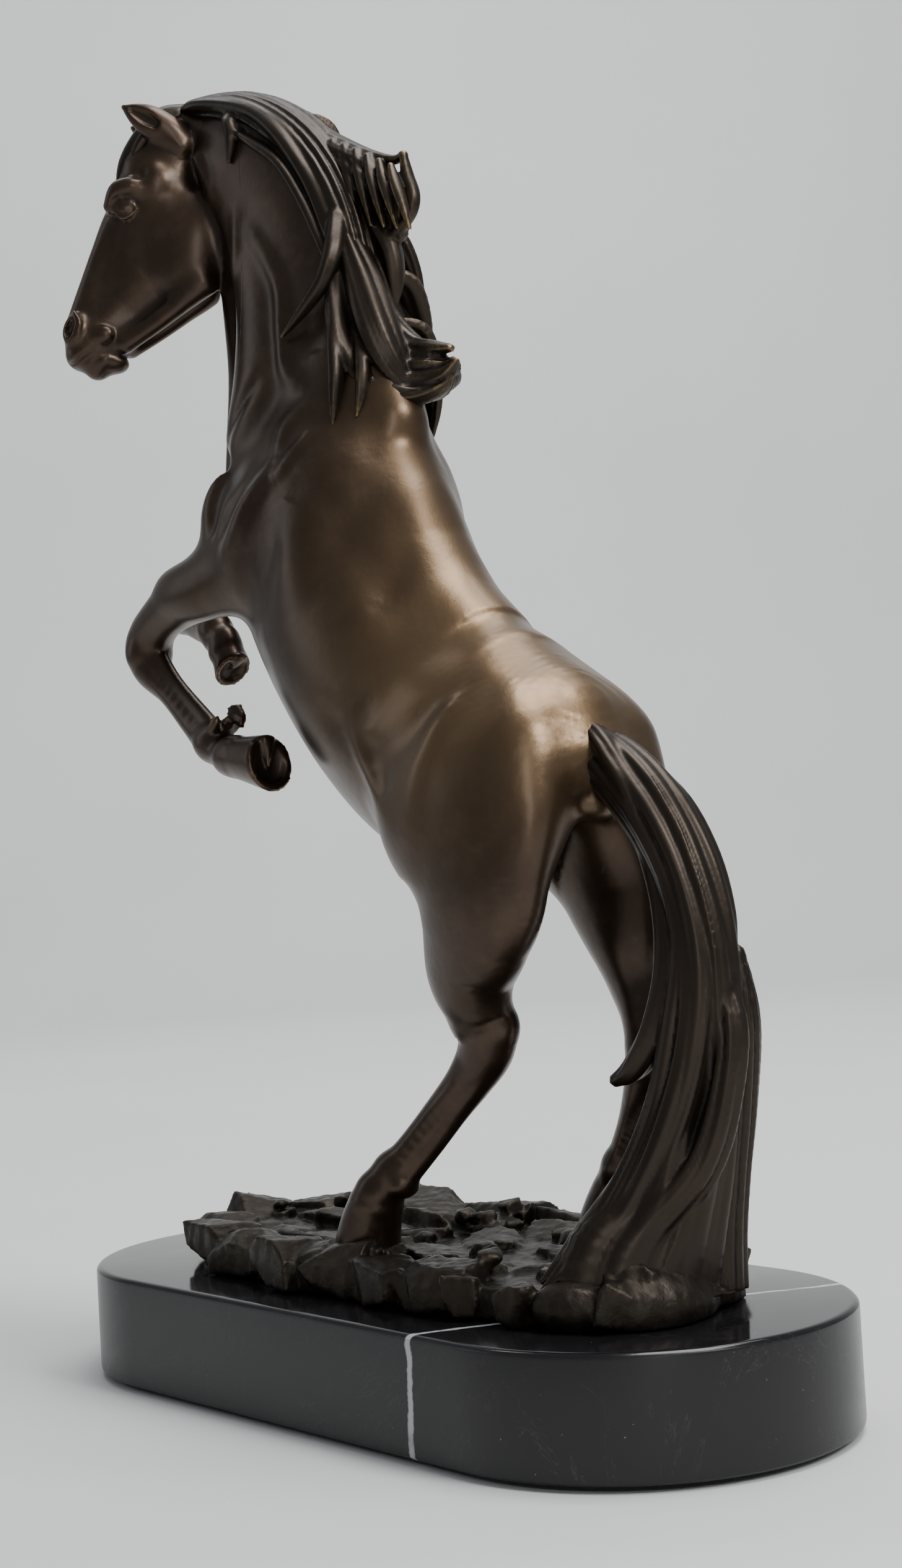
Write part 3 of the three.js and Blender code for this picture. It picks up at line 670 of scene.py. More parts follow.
def head_bones():
    made = [tube(SKULL, k=4)]
    # Forehead, nasal bone and the round of the cheek.
    made.append(ball((-22, 0, -15), (9, 11, 11), turn=(0, -20, 0), k=5))
    made.append(tube([(-28, 0, -20, 5, 7), (-37, 0, -38, 5, 6), (-44.5, 0, -56, 5, 5.4),
                      (-50, 0, -69, 4.5, 5.4)], k=4))
    made += both(ball, (-7.5, 7.5, -43), (13.5, 7, 19.5), turn=(0, 10, 0), k=4)
    # Jaw bars with the channel between them, and the chin.
    made += both_tubes([(-2, 8, -59, 3.5, 3), (-12, 7, -65.5, 3.6, 3.4), (-22, 6, -72, 3.5, 3.4),
                        (-32, 5, -78, 3.4, 3.4)], k=6)
    made.append(tube([(-4, 0, -62, 1, 1.4), (-16, 0, -71, 2, 2.2), (-27, 0, -79, 1, 1.4)],
                     k=5, cut=True))
    # Brow, eye socket, eyeball and lids.
    made += both_tubes([(-20, 11, -24.5, 2.4, 2.4), (-26, 12.8, -22.5, 3.4, 3.4),
                        (-31.5, 11.6, -23.5, 3.7, 3.7), (-35, 9.2, -28, 2.6, 2.6)], k=3.4)
    made += both(ball, (-30, 13.6, -30), (4.6, 3.2, 3.4), turn=(0, 20, 0), k=2, cut=True)
    made += both(ball, (-29.6, 10.2, -30), (3.9, 3.2, 3), turn=(0, 20, 0), k=0.6)
    made += both_tubes([(-25.2, 12, -30.5, 0.7, 0.7), (-27.4, 12.8, -27.9, 0.8, 0.8),
                        (-31, 12.2, -27.2, 0.8, 0.8), (-34, 10.4, -29.5, 0.7, 0.7)], k=1)
    made += both_tubes([(-25.2, 12, -30.5, 0.6, 0.6), (-27.6, 12.2, -32.8, 0.8, 0.8),
                        (-31, 11.6, -33, 0.8, 0.8), (-34, 10.4, -29.5, 0.6, 0.6)], k=1)
    # Temple: the small muscle behind the brow and the hollow above the eye.
    made += both(ball, (-18, 12, -20), (4, 2.6, 4.4), k=4)
    made += both_swells([(-22, 13, -15), (-22, 13.6, -21)], -1, 2.4)
    # Facial crest curving from under the eye round the front of the cheek.
    made += both_swells([(-30, 13.5, -36), (-33, 12.5, -43), (-31.5, 12.5, -50), (-25.5, 13, -55),
                         (-18, 13, -60)], 1.3, 2.6)
    made += both_swells([(-36, 11, -48), (-39, 10, -56), (-41, 9, -63)], -1.2, 4)
    # Ridge from the ear down behind the cheek.
    made += both_swells([(-16, 12, -3), (-9, 14, -7), (-2, 14.4, -16), (4, 13.6, -30)], 2.8, 3)
    # Nostrils with a raised rim, lips, mouth line and chin.
    made.append(ball((-46.5, 0, -75.5), (9, 9.6, 9.5), k=3.5))
    made += both(ball, (-50.5, 6.4, -72.5), (4.6, 4, 6.4), turn=(0, 18, 0), k=2)
    made += both(ball, (-52.6, 8.8, -72), (2.2, 3.2, 4.2), turn=(0, 24, 25), k=0.9, cut=True)
    made += both_tubes([(-50.4, 9.2, -66.4, 0.7, 0.7), (-48.6, 10.2, -70.6, 0.9, 0.9),
                        (-49.6, 9.8, -75.4, 0.8, 0.8)], k=1.6)
    made.append(ball((-49, 0, -81.2), (6.2, 8.2, 5), k=2.5))
    made.append(ball((-41, 0, -83.6), (6.6, 7, 4.6), turn=(0, -20, 0), k=1.6))
    made.append(ball((-37, 0, -84.5), (4.6, 5, 3.4), k=2))
    for hand in (-1, 1):
        made.append(tube([(-54, 2 * hand, -84.5, 0.6, 0.6), (-49.5, 8 * hand, -83.2, 0.9, 0.9),
                          (-43, 9.6 * hand, -79.6, 0.9, 0.9), (-38, 9.6 * hand, -76.6, 0.5, 0.5)],
                         k=0.9, cut=True))
    made += both(ball, (-40, 9.2, -75), (3.6, 1.8, 3), k=2)
    # Veins on the face.
    made += both_swells([(-26, 13, -56), (-33, 11, -60), (-40, 9.6, -67)], 0.6, 1.5)
    return made


def ear(hand):
    stations = [(-8, 8.5 * hand, -6, 5, 5), (-13, 10 * hand, -2, 6.2, 5),
                (-19, 11.5 * hand, 2, 5.8, 4.2), (-24, 12 * hand, 5, 3.8, 2.8),
                (-28, 12 * hand, 7.4, 0.9, 0.9)]
    hollow = [(-16, 14.6 * hand, -0.5, 1.6, 1), (-20.5, 15 * hand, 2.4, 2.4, 1.6),
              (-25, 14 * hand, 5.4, 1.2, 0.8)]
    return [tube(stations, k=3), tube(hollow, k=1, cut=True)]


HEAD_TURN = euler(0, 0, HEAD_YAW)


def on_head(prims):
    return into(prims, HEAD_TURN, POLL)


def body():
    return trunk() + neck() + legs() + on_head(head_bones())


# ---- mane, forelock and tail: overlapping locks, each with combed ridges -----------
def lock(points, radii, flat=0.7, side=(0, -1, 0), k=1.2, strands=9, relief=0.8, twist=0.2,
         seed=0):
    """A tapering lock through `points`; radii are its half-widths, thinner by `flat`."""
    count = len(points)
    along = np.interp(np.linspace(0, 1, count), np.linspace(0, 1, len(radii)), radii)
    rows = [(*p, r * flat, r) for p, r in zip(points, along)]
    return tube(rows, side=side, k=k, strands=strands, relief=relief, twist=twist,
                phase=seed * 1.3)


CREST_LINE = [(-92, -10, 458), (-76, -6, 457), (-58, -2, 450), (-42, 1, 439), (-29, 4, 422),
              (-20, 6, 403), (-14, 7, 384), (-10, 8, 364), (-6, 9, 348)]


def mane_crest():
    base = [(-96, -11, 459, 3, 6), (-84, -9, 458, 6.5, 9), (-67, -6, 453, 8.5, 12),
            (-52, -3, 444, 10, 13), (-39, -1, 432, 11, 13), (-28, 0, 418, 11, 13),
            (-20, 1, 403, 10, 13), (-16, 2, 387, 9, 12), (-12, 4, 368, 6, 10)]
    made = [tube(base, k=2, strands=22, relief=1.2, twist=0.12)]
    # Locks combed back from the poll along the crest.
    for i in range(5):
        y, lift = -17 + i * 3.6, 1.2 * math.sin(i * 1.1)
        made.append(lock([(-101 + i, y + 1, 457 + lift), (-87, y, 460 + lift),
                          (-69, y + 2, 456 + 2 * lift), (-53, y + 3.5, 449 + 1.5 * lift),
                          (-39 + i, y + 4, 437 + lift), (-28 + i, y + 5, 422), (-20 + i, y + 6, 407),
                          (-14 + i, y + 6, 391)], (1.6, 3.6, 3.8, 3.8, 3.6, 3, 2, 0.8), flat=0.8,
                         seed=1 + i, strands=4, relief=0.6))
    # Strands along the hairline on the left of the neck.
    made.append(lock([(-66, -17, 448), (-52, -17, 438), (-38, -15, 427), (-29, -13.5, 414),
                      (-22, -12.5, 400), (-17, -11.5, 386), (-15, -11, 372)],
                     (1, 2.8, 3.4, 3.4, 3, 2, 0.8), flat=0.6, seed=11, strands=5, relief=0.5))
    made.append(lock([(-50, -13, 444), (-37, -12, 433), (-26, -10.5, 418), (-19, -9.5, 402),
                      (-14, -9, 386), (-12, -9, 368)], (1.4, 3.4, 4, 4, 3.4, 1), flat=0.7, seed=12,
                     strands=5, relief=0.6))
    # Hair falling over the right side of the neck.
    for i in range(9):
        x, y, z = catmull(CREST_LINE, 10)[i]
        sway = 3 * math.sin(i * 2.3)
        made.append(lock([(x, y + 2, z + 3), (x + 1, y + 10, z), (x + sway * 0.5, y + 16, z - 12),
                          (x + sway - 2, y + 18.5, z - 26), (x + sway - 5, y + 18, z - 40)],
                         (5, 7, 6.5, 4.5, 0.8), flat=0.5, side=(1, 0, 0.4), seed=5 + i))
    # A short wisp behind the ear and a long one across the neck.
    made.append(lock([(-70, -14, 452), (-63, -17, 448), (-60, -19, 441), (-62, -19.5, 433)],
                     (1.8, 3.6, 3, 1), seed=15, strands=5, relief=0.4))
    made.append(lock([(-15, -8, 402), (-12, -13, 390), (-14, -17, 379), (-22, -20.5, 370),
                      (-32, -22.5, 363)], (4, 4, 3.2, 2.4, 0.8), seed=16, strands=5, relief=0.5))
    return made


def mane_flare():
    base = [(-46, -1, 439, 6, 9), (-31, 2, 428, 9, 8.5), (-17, 4, 418, 10, 7.5),
            (-7, 6, 411, 8.5, 6), (-2, 7, 404, 6, 4.4), (-2, 8, 396, 3, 3)]
    made = [tube(base, k=2, strands=12, relief=1, twist=0.1)]
    made.append(lock([(-44, 2, 447), (-33, 3, 438), (-20, 4, 429.5), (-8, 6, 423.5), (0, 7, 421),
                      (4, 7, 422)], (3, 3.6, 3.6, 3, 2.2, 1.4), seed=21, strands=5, relief=0.5))
    made.append(lock([(4, 7, 421.5), (5, 7.5, 414), (7, 8, 407), (6, 7.5, 401), (1, 6.5, 396.5),
                      (-6, 5, 392), (-10, 4, 386)], (1.6, 2.6, 2.6, 2.2, 2, 1.8, 0.8), seed=22,
                     strands=4, relief=0.4))
    for i in range(9):
        x, z = -40 + i * 5.2, 440 - i * 3
        drop = 34 - i * 1.5
        made.append(lock([(x, -4 + i * 0.9, z + 2), (x + 3, -6.5 + i * 1.1, z - drop * 0.25),
                          (x + 6, -8 + i * 1.3, z - drop * 0.6), (x + 8, -8 + i * 1.4, z - drop)],
                         (1.4, 2.4, 2.2, 0.8), flat=0.7, seed=23 + i, strands=3, relief=0.4))
    # The rolled edge that folds back under the flare.
    made.append(lock([(-12, 2, 404), (-7, 4, 398), (-4, 6, 390), (-4, 7, 380), (-6, 7, 370)],
                     (3, 4, 4, 3.4, 1), seed=32, strands=5))
    return made


def mane_fall():
    base = [(-25, 2, 402, 8, 9), (-20, 2, 388, 9, 12), (-15, 2, 370, 10, 13),
            (-9, 5, 355, 11, 13), (1, 9, 347, 10, 10), (11, 11, 345, 8, 7.5), (17, 12, 346, 3, 3)]
    made = [tube(base, k=2, strands=11, relief=1.5, twist=0.2)]
    made.append(lock([(-12, 1, 398), (-8, 1, 382), (-5, 3, 367), (3, 7, 356), (12, 9, 353),
                      (18, 11, 352)], (3, 4.4, 5, 4.6, 3.6, 2), seed=41, strands=5, relief=1))
    made.append(lock([(-17, -6, 398), (-13, -9, 380), (-10, -8.5, 363), (-4, -3, 350),
                      (6, 4, 343), (16, 9, 343), (21, 11, 347)], (2, 5, 5.6, 5.6, 5, 3.4, 1.4),
                     seed=42, strands=5, relief=1))
    made.append(lock([(-16, -10, 392), (-12, -13.5, 372), (-8, -13.5, 355), (-2, -7, 343),
                      (7, 2, 337), (15, 8, 338), (19, 10, 342)],
                     (1, 4, 5, 5, 4.4, 3, 1), seed=43, strands=5, relief=1))
    made.append(lock([(-14, -5, 396), (-6, -6, 380), (0, -6, 363), (3, -3, 350), (6, 2, 340)],
                     (4, 7, 8, 7, 3), seed=48, strands=6, relief=1.1))
    made.append(lock([(-20, 12, 392), (-16, 15, 374), (-10, 17, 358), (0, 17, 347),
                      (11, 16, 343), (17, 14, 345)], (3, 5.4, 6, 5.4, 4, 1.6), seed=44, strands=5))
    made.append(lock([(-24, 16, 386), (-24, 20, 368), (-21, 23, 350), (-17, 24, 336),
                      (-15, 23, 326)], (3, 5, 5.4, 4, 0.8), side=(1, 0, 0), flat=0.5, seed=45,
                     strands=5))
    made.append(lock([(-12, -12, 376), (-9, -17, 360), (-7, -19, 347), (-7, -20.5, 336),
                      (-8, -21, 328)], (1, 3, 3, 2, 0.6), seed=46, strands=4, relief=0.4))
    made.append(lock([(-6, -10, 362), (-1, -12, 350), (0, -14, 339), (-1, -16, 330)],
                     (1, 3, 2.4, 0.6), seed=47, strands=4, relief=0.4))
    return made


def forelock():
    made = [lock([(-6, -1, 7), (-15, -2, 5), (-23, -3, -2), (-29.5, -3.5, -11), (-33, -3.5, -20)],
                 (5, 6, 5, 3.4, 0.8), flat=0.7, seed=51, strands=5)]
    made.append(lock([(-7, 3, 6), (-16, 4, 4), (-24, 4, -3), (-30.5, 3, -13), (-35, 1, -22)],
                     (4, 5, 4, 2.8, 0.6), flat=0.7, seed=52, strands=5))
    made.append(lock([(-9, -5, 5), (-17, -6.4, 1), (-24, -7.4, -7), (-28.5, -7.4, -17)],
                     (3, 3.6, 2.8, 0.6), flat=0.7, seed=53, strands=4))
    return on_head(made)


TAIL = [
    (82, 0, 211, 7, 7), (92, 1, 207, 8.5, 9), (104, 2, 197, 9.5, 10), (114, 3, 184, 9.5, 10),
    (121, 4, 168, 9.5, 9.5), (125, 5, 148, 10, 10), (124, 5, 126, 11, 11.5),
    (120, 3.5, 104, 11, 13.5), (117, 0, 84, 11, 15.5), (114, -7, 66, 11, 20),
    (111, -12.5, 54, 11, 26), (110, -13, 44, 12, 29),
]
TAIL_SIDE = (0.43, 0.9, 0)


def tail():
    made = [tube(TAIL, side=TAIL_SIDE, k=2, strands=9, relief=1.8, twist=0.2)]
    # The dock, then the inner fold that ends in a curl above the rock.
    made.append(lock([(84, -2, 220), (93, -3, 215), (101, -4, 206), (109, -4, 194),
                      (114, -3, 178)], (1.6, 4, 4.6, 4.6, 2), seed=61, strands=5))
    made.append(lock([(96, -2, 205), (108, 0, 186), (116, 0, 164), (118.5, -2, 143),
                      (114, -5, 125), (105.5, -7, 113), (98, -8, 109)],
                     (3, 4.6, 5, 5.4, 5, 4, 2.2), flat=0.9, side=TAIL_SIDE, seed=62, strands=5,
                     k=0.6))
    # Long locks that sweep from the outer edge down to the left tip.
    made.append(lock([(108, 0, 200), (119, 0, 176), (124.5, 0, 149), (122, -4, 122),
                      (117, -8, 100), (110.5, -17, 80), (104, -28, 63), (97, -40, 50)],
                     (4, 5, 6, 6.4, 6, 5, 4.4, 2.4), side=TAIL_SIDE, seed=63, relief=1.3,
                     strands=6, twist=0.5))
    made.append(lock([(112, 0, 194), (124, 1, 168), (129, 0, 142), (127, -4, 116),
                      (121, -10, 93), (113, -18, 73), (107, -28, 57), (103, -36, 47)],
                     (4, 5.6, 6, 6, 6, 5.6, 5, 3.6), side=TAIL_SIDE, seed=64, relief=1.3,
                     strands=5, twist=0.6))
    made.append(lock([(126, 4, 150), (135, 5, 128), (134, 2, 106), (128, -4, 84),
                      (116, -17, 65), (111, -26, 50), (109, -30, 44)],
                     (3, 4.6, 5, 5.6, 6, 6, 5), side=TAIL_SIDE, seed=65, relief=1.3, strands=6,
                     twist=0.6))
    made.append(lock([(124, -4, 112), (122, -9, 88), (117, -15, 68), (114, -19, 50),
                      (113, -20, 44)], (2, 5, 6, 7, 7), side=TAIL_SIDE, seed=66, strands=7))
    made.append(lock([(116, -9, 98), (109, -17, 82), (101, -28, 65), (94, -39, 52.5)],
                     (1, 3, 3.4, 1.2), side=TAIL_SIDE, seed=67, strands=4, relief=0.7))
    # Right-hand and far side.
    made.append(lock([(104, 6, 205), (117, 7, 192), (126, 8, 175), (130.5, 8.5, 158),
                      (131.5, 8.5, 145)], (3, 4.6, 5, 4.6, 3.4), seed=68, strands=6))
    made.append(lock([(98, 7, 204), (111, 11, 182), (119, 14, 154), (122, 18, 124),
                      (120, 17, 94), (117, 13, 66), (114, 9, 46)],
                     (3, 5.6, 6, 6.4, 7, 8, 8), side=TAIL_SIDE, seed=69, relief=1.3, strands=7))
    made.append(lock([(110, 7, 190), (121, 9, 162), (124, 9, 134), (122, 7, 106),
                      (119, 3, 80), (117, -2, 58), (116, -5, 45)],
                     (3, 5.4, 6, 6, 6.4, 7.4, 8), side=TAIL_SIDE, seed=70, relief=1.3, strands=6,
                     twist=0.4))
    made.append(lock([(103, 8, 178), (107, 12, 150), (109, 12, 120), (109, 9, 92),
                      (107, 4, 68), (105, 0, 48)], (2, 4.4, 5, 5.4, 6, 6), side=TAIL_SIDE, seed=71))
    return made


def tail_strand():
    rows = [(131, 13, 146, 2.4, 2.6), (130.5, 14, 126, 5, 6), (126, 14.5, 102, 6, 6.6),
            (122, 14, 80, 6, 6.4), (119, 13, 62, 6.8, 7), (117.5, 12, 46, 8, 8)]
    made = [tube(rows, k=1.5, strands=11, relief=1.1, twist=0.3)]
    made.append(lock([(131, 10, 130), (128, 8, 108), (124, 7, 86), (121.5, 7, 66), (120, 7, 48)],
                     (1, 3.6, 4, 4.4, 5), seed=81))
    made.append(lock([(127, 18, 126), (122, 20, 100), (117, 19, 76), (114, 18, 48)],
                     (1, 4, 5, 6), seed=82))
    return made


def tail_far_lock():
    rows = [(92, 38, 176, 1.6, 1.4), (81, 43.5, 158, 5.4, 3.6), (70.5, 45, 132, 7, 4.2),
            (64.5, 44, 104, 7.2, 4.2), (61.5, 42.5, 78, 7, 4.2), (60, 41.5, 60, 6.4, 4.2),
            (59.5, 41, 46, 7, 5)]
    made = [tube(rows, side=(0.3, 0.95, 0), k=1.5, strands=12, relief=0.9, twist=0.1)]
    made.append(lock([(84, 41, 166), (75, 45, 142), (69, 46, 116), (67, 45, 90), (66, 43, 66),
                      (66, 42, 48)], (1, 3.4, 4, 4, 3.6, 4), seed=91))
    return made


# ---- rock ground ---------------------------------------------------------------
GROUND_OUTLINE = [
    (123, 2), (119, 28), (88, 44), (48, 54), (4, 57), (-40, 53), (-84, 44), (-116, 30),
    (-126, 8), (-120, -16), (-102, -34), (-70, -45), (-16, -51), (28, -52), (64, -50), (108, -34),
]
RIM_STONES = [
    (-103, -18, 14, 12, 20), (-82, -31, 15, 11, -10), (-56, -38, 16, 10, 5), (-28, -42, 14, 11, -6),
    (-2, -42, 13, 11, 8), (26, -44, 14, 10, -5), (52, -43, 14, 10, 4), (106, -12, 11, 16, 12),
    (102, 17, 10, 13, -18), (85, 33, 15, 9, -30), (58, 45, 20, 10, -8), (20, 48, 20, 10, 3),
    (-20, 47, 19, 10, -4), (-60, 41, 20, 11, 10), (-94, 27, 16, 12, 30), (-109, 6, 12, 15, 0),
]
# Flat cracked slabs on top: x, y, z, half-length, half-width, turn.
SLABS = [
    (-92, -8, 50, 15, 11, 25), (-66, -16, 51, 13, 10, -15), (-38, -20, 51.5, 14, 9, 8),
    (-92, 14, 51.5, 13, 10, -20), (-62, 12, 52, 14, 10, 12), (-34, 6, 51.5, 13, 9, -18),
    (-40, 28, 53, 15, 9, 5), (-8, 26, 52.5, 14, 9, -12), (18, 8, 51.5, 13, 10, 18),
    (22, -18, 51.5, 14, 10, -10), (48, -22, 51, 12, 9, 14), (26, 32, 52.5, 15, 9, 10),
    (78, 14, 51.5, 13, 11, -14), (70, -14, 51, 12, 10, 8), (88, -8, 51, 12, 10, 30),
    (-12, 2, 52, 9, 8, 30), (54, 8, 51.5, 11, 9, -24), (-74, 32, 53, 14, 8, 18),
]
PEBBLES = [
    (-24, 18, 55.5, 4.4), (-10, 18.5, 55, 3.4), (-2, 22, 55, 3), (43, -18, 54, 4),
    (61, -31, 55, 4.2), (55, -27, 55.5, 2.6), (119, -8, 54, 4), (-6, 37, 56, 4),
    (-78, 18, 55.5, 3.2), (-57, -2, 55, 3), (-70, 24, 56, 3.6), (88, 26, 55, 3.4),
    (96, 20, 54.5, 2.6), (-98, 4, 54.5, 2.8),
]


def polygon(outline, low, high, k=1.0):
    """A prism over a smooth closed outline."""
    rows = catmull([(*p, 0, 0, 0) for p in outline[-1:] + outline + outline[:2]], 109)
    step = 108 // (len(outline) + 2)
    ring = rows[step:-step - 1, :2]
    start, end = ring, np.roll(ring, -1, axis=0)

    def distance(p):
        best = np.full(len(p), 1e9)
        inside = np.zeros(len(p), bool)
        for a, b in zip(start, end):
            e, w = b - a, p[:, :2] - a
            t = np.clip((w @ e) / (e @ e + 1e-9), 0, 1)
            best = np.minimum(best, ((w - t[:, None] * e) ** 2).sum(1))
            crosses = (a[1] > p[:, 1]) != (b[1] > p[:, 1])
            if abs(e[1]) > 1e-9:
                inside ^= crosses & (p[:, 0] < a[0] + (p[:, 1] - a[1]) * e[0] / e[1])
        flat = np.where(inside, -1, 1) * np.sqrt(best)
        return np.maximum(flat, np.maximum(p[:, 2] - high, low - p[:, 2]))
    return Prim(distance, (*ring.min(0), low), (*ring.max(0), high), k)


def stone(centre, half, turn, seed, k=0.5, cuts=9, bite=0.78):
    """An angular rock: a tilted block with `cuts` more flat faces struck off it."""
    rng = np.random.RandomState(seed)
    centre, half = np.array(centre, float), np.array(half, float)
    rot = euler(*turn)
    normals, offsets = [], []
    for axis in range(3):
        for sign in (-1, 1):
            n = rng.uniform(-0.16, 0.16, 3)
            n[axis] = sign
            normals.append(n / np.linalg.norm(n))
            offsets.append(half[axis] * rng.uniform(0.88, 1))
    for _ in range(cuts):
        n = rng.normal(size=3) / half
        n /= np.linalg.norm(n)
        normals.append(n)
        offsets.append(np.linalg.norm(n * half) * rng.uniform(bite, 1))
    normals, offsets = np.array(normals), np.array(offsets)
    reach = np.linalg.norm(half)

    def distance(p):
        return (((p - centre) @ rot) @ normals.T - offsets).max(1)
    return Prim(distance, centre - reach, centre + reach, k)


def roughness(p, scale):
    """A cheap repeatable waviness from crossed sines, about -1 to 1."""
    x, y, z = (p * scale).T
    a = np.sin(x * 1.7 + 1.3 * np.sin(y * 1.1 + z * 0.7)) * np.sin(y * 1.9 + np.sin(x * 0.9))
    b = np.sin(x * 4.1 + y * 3.3 + 2 * np.sin(z * 2.7)) * np.sin(z * 3.7 + y * 2.3)
    return 0.65 * a + 0.35 * b


def ground_prims():
    rng = np.random.RandomState(7)
    made = [polygon([(x * 0.955, y * 0.94) for x, y in GROUND_OUTLINE], GROUND_Z, 49.2)]
    for i, (x, y, a, b, turn) in enumerate(RIM_STONES):
        z = 47 + rng.uniform(-0.6, 0.8)
        made.append(stone((x, y, z), (a, b, 8.2), (rng.uniform(-5, 5), rng.uniform(-4, 4), turn),
                          100 + i, bite=0.84))
        # A smaller stone wedged beside each large one.
        lean = 1 if y > 0 else -1
        made.append(stone((x + a * 0.9, y + lean * b * 0.1, z - 1), (a * 0.42, b * 0.7, 7),
                          (rng.uniform(-9, 9), rng.uniform(-9, 9), turn + 20), 140 + i))
    for i, (x, y, z, a, b, turn) in enumerate(SLABS):
        tilt = (rng.uniform(-4, 4), rng.uniform(-4, 4), turn)
        made.append(stone((x, y, z - 3.2), (a, b, 4.6), tilt, 180 + i, cuts=10, bite=0.66))
        made.append(stone((x + a * 0.6, y - b * 0.5, z - 2.4), (a * 0.45, b * 0.4, 3.6),
                          (tilt[0], tilt[1], turn + 35), 210 + i, cuts=7))
    # A mound under the tail, the long smooth boulder in front of it, and the end rocks.
    made.append(ball((110, -12, 44), (19, 25, 14.5), turn=(0, 0, 8), k=4))
    made.append(ball((105, -37, 45.6), (13, 8, 8), turn=(0, 4, 33), k=0.8))
    made.append(stone((88, -43, 46), (8, 6, 7.4), (4, -6, 14), 300, bite=0.8))
    made.append(stone((116, -28, 46.5), (8, 8, 7.6), (-6, 8, 50), 305, bite=0.76))
    made.append(stone((114.5, -22, 51), (9, 6, 8), (14, 10, 40), 301, bite=0.7))
    made.append(stone((116, -8, 49.5), (7, 9, 8), (6, 10, 8), 302, bite=0.74))
    made.append(stone((115, 8, 49), (8, 9, 7), (6, 8, -12), 303, bite=0.74))
    made.append(stone((102, -28, 55), (6, 4, 3), (10, 4, 30), 304))
    for i, (x, y, z, r) in enumerate(PEBBLES):
        made.append(stone((x, y, z), (r * 1.2, r, r * 0.75), (5, -8, i * 37), 320 + i, k=0.8,
                          bite=0.8))
    # Rock built up round the two hooves that stand on it.
    for x, y in ((-4, -29.5), (51.5, 28.5)):
        for i in range(7):
            turn = i * 51 + 10
            dx, dy = 13 * math.cos(math.radians(turn)), 12 * math.sin(math.radians(turn))
            made.append(stone((x + dx, y + dy, 50), (6.5, 4.5, 4.6), (6, -8, turn + 90), 340 + i,
                              bite=0.8))
    for x in STUD_X:
        made.append(tube([(x, 0, GROUND_Z - 6, 3.3, 3.3), (x, 0, GROUND_Z + 4, 3.3, 3.3)],
                         k=0.2, cut=True))
    return made


def ground():
    prims = ground_prims()

    def distance(points, pad):
        d = field(points, prims, pad) + 0.38 * roughness(points, 0.42)
        return np.maximum(d, GROUND_Z - points[:, 2])
    verts, quads = sculpt(distance, (-134, -64, 36), (134, 68, 64), ROCK_VOXEL)
    return mesh_object("rock", verts, quads, ROCK_VOXEL)


# ---- cutting the bronze into its castings -----------------------------------------
# A joint is a plane through a point; only faces within `reach` of it are cut.
JOINTS = [
    ((-102, -28.8, 275.5), (1, 0, -0.3), 17), ((-108, 21, 290.5), (1, -0.3, 0), 17),
    ((60.5, -26, 172), (0.05, 0, 1), 40), ((68, 24, 172), (-0.2, 0, 1), 36),
    ((-40, 0, 342), (0, 0, 1), 90),
]
HEAD_JOINT = (tuple(HEAD_TURN @ np.array([5.0, 0, -30]) + POLL), tuple(HEAD_TURN[:, 0]), 48)
CASTINGS = {
    "torso": (-10, 0, 290), "neck": (-50, 0, 400), "left_foreleg": (-119, -27, 262),
    "right_foreleg": (-156, 13, 285), "left_hind_leg": (47, -16, 120),
    "right_hind_leg": (84, 22, 115),
}


def split(work, joints):
    for point, normal, reach in joints:
        point = Vector(point) * MM
        faces = [f for f in work.faces if (f.verts[0].co - point).length < reach * MM]
        edges = {e for f in faces for e in f.edges}
        verts = {v for f in faces for v in f.verts}
        cut = bmesh.ops.bisect_plane(work, geom=[*faces, *edges, *verts], dist=1e-8,
                                     plane_co=point, plane_no=Vector(normal))
        seam = [g for g in cut["geom_cut"] if isinstance(g, bmesh.types.BMEdge)]
        bmesh.ops.split_edges(work, edges=seam)
    rim = [e for e in work.edges if e.is_boundary]
    caps = bmesh.ops.holes_fill(work, edges=rim, sides=0)["faces"]
    for face in caps:
        face.smooth = False
    for edge in rim:
        edge.smooth = False
    bmesh.ops.triangulate(work, faces=caps)


def castings(whole, joints, seeds):
    """Cuts a mesh at its joints; returns one object per seed, the shell nearest to it."""
    work = bmesh.new()
    work.from_mesh(whole.data)
    split(work, joints)
    divided = mesh_of(work, "divided")
    count = len(divided.vertices)
    edges = np.empty(len(divided.edges) * 2, int)
    divided.edges.foreach_get("vertices", edges)
    label = shells(count, edges.reshape(-1, 2))
    places = np.empty(count * 3)
    divided.vertices.foreach_get("co", places)
    places = places.reshape(-1, 3)
    made = []
    for name, seed in seeds.items():
        nearest = ((places - np.array(seed) * MM) ** 2).sum(1).argmin()
        own = label == label[nearest]
        work = bmesh.new()
        work.from_mesh(divided)
        work.verts.ensure_lookup_table()
        lost = [work.verts[i] for i in np.flatnonzero(~own)]
        bmesh.ops.delete(work, geom=lost, context="VERTS")
        made.append(add_object("bronze_" + name, mesh_of(work, name)))
    bpy.data.objects.remove(whole)
    bpy.data.meshes.remove(divided)
    return made


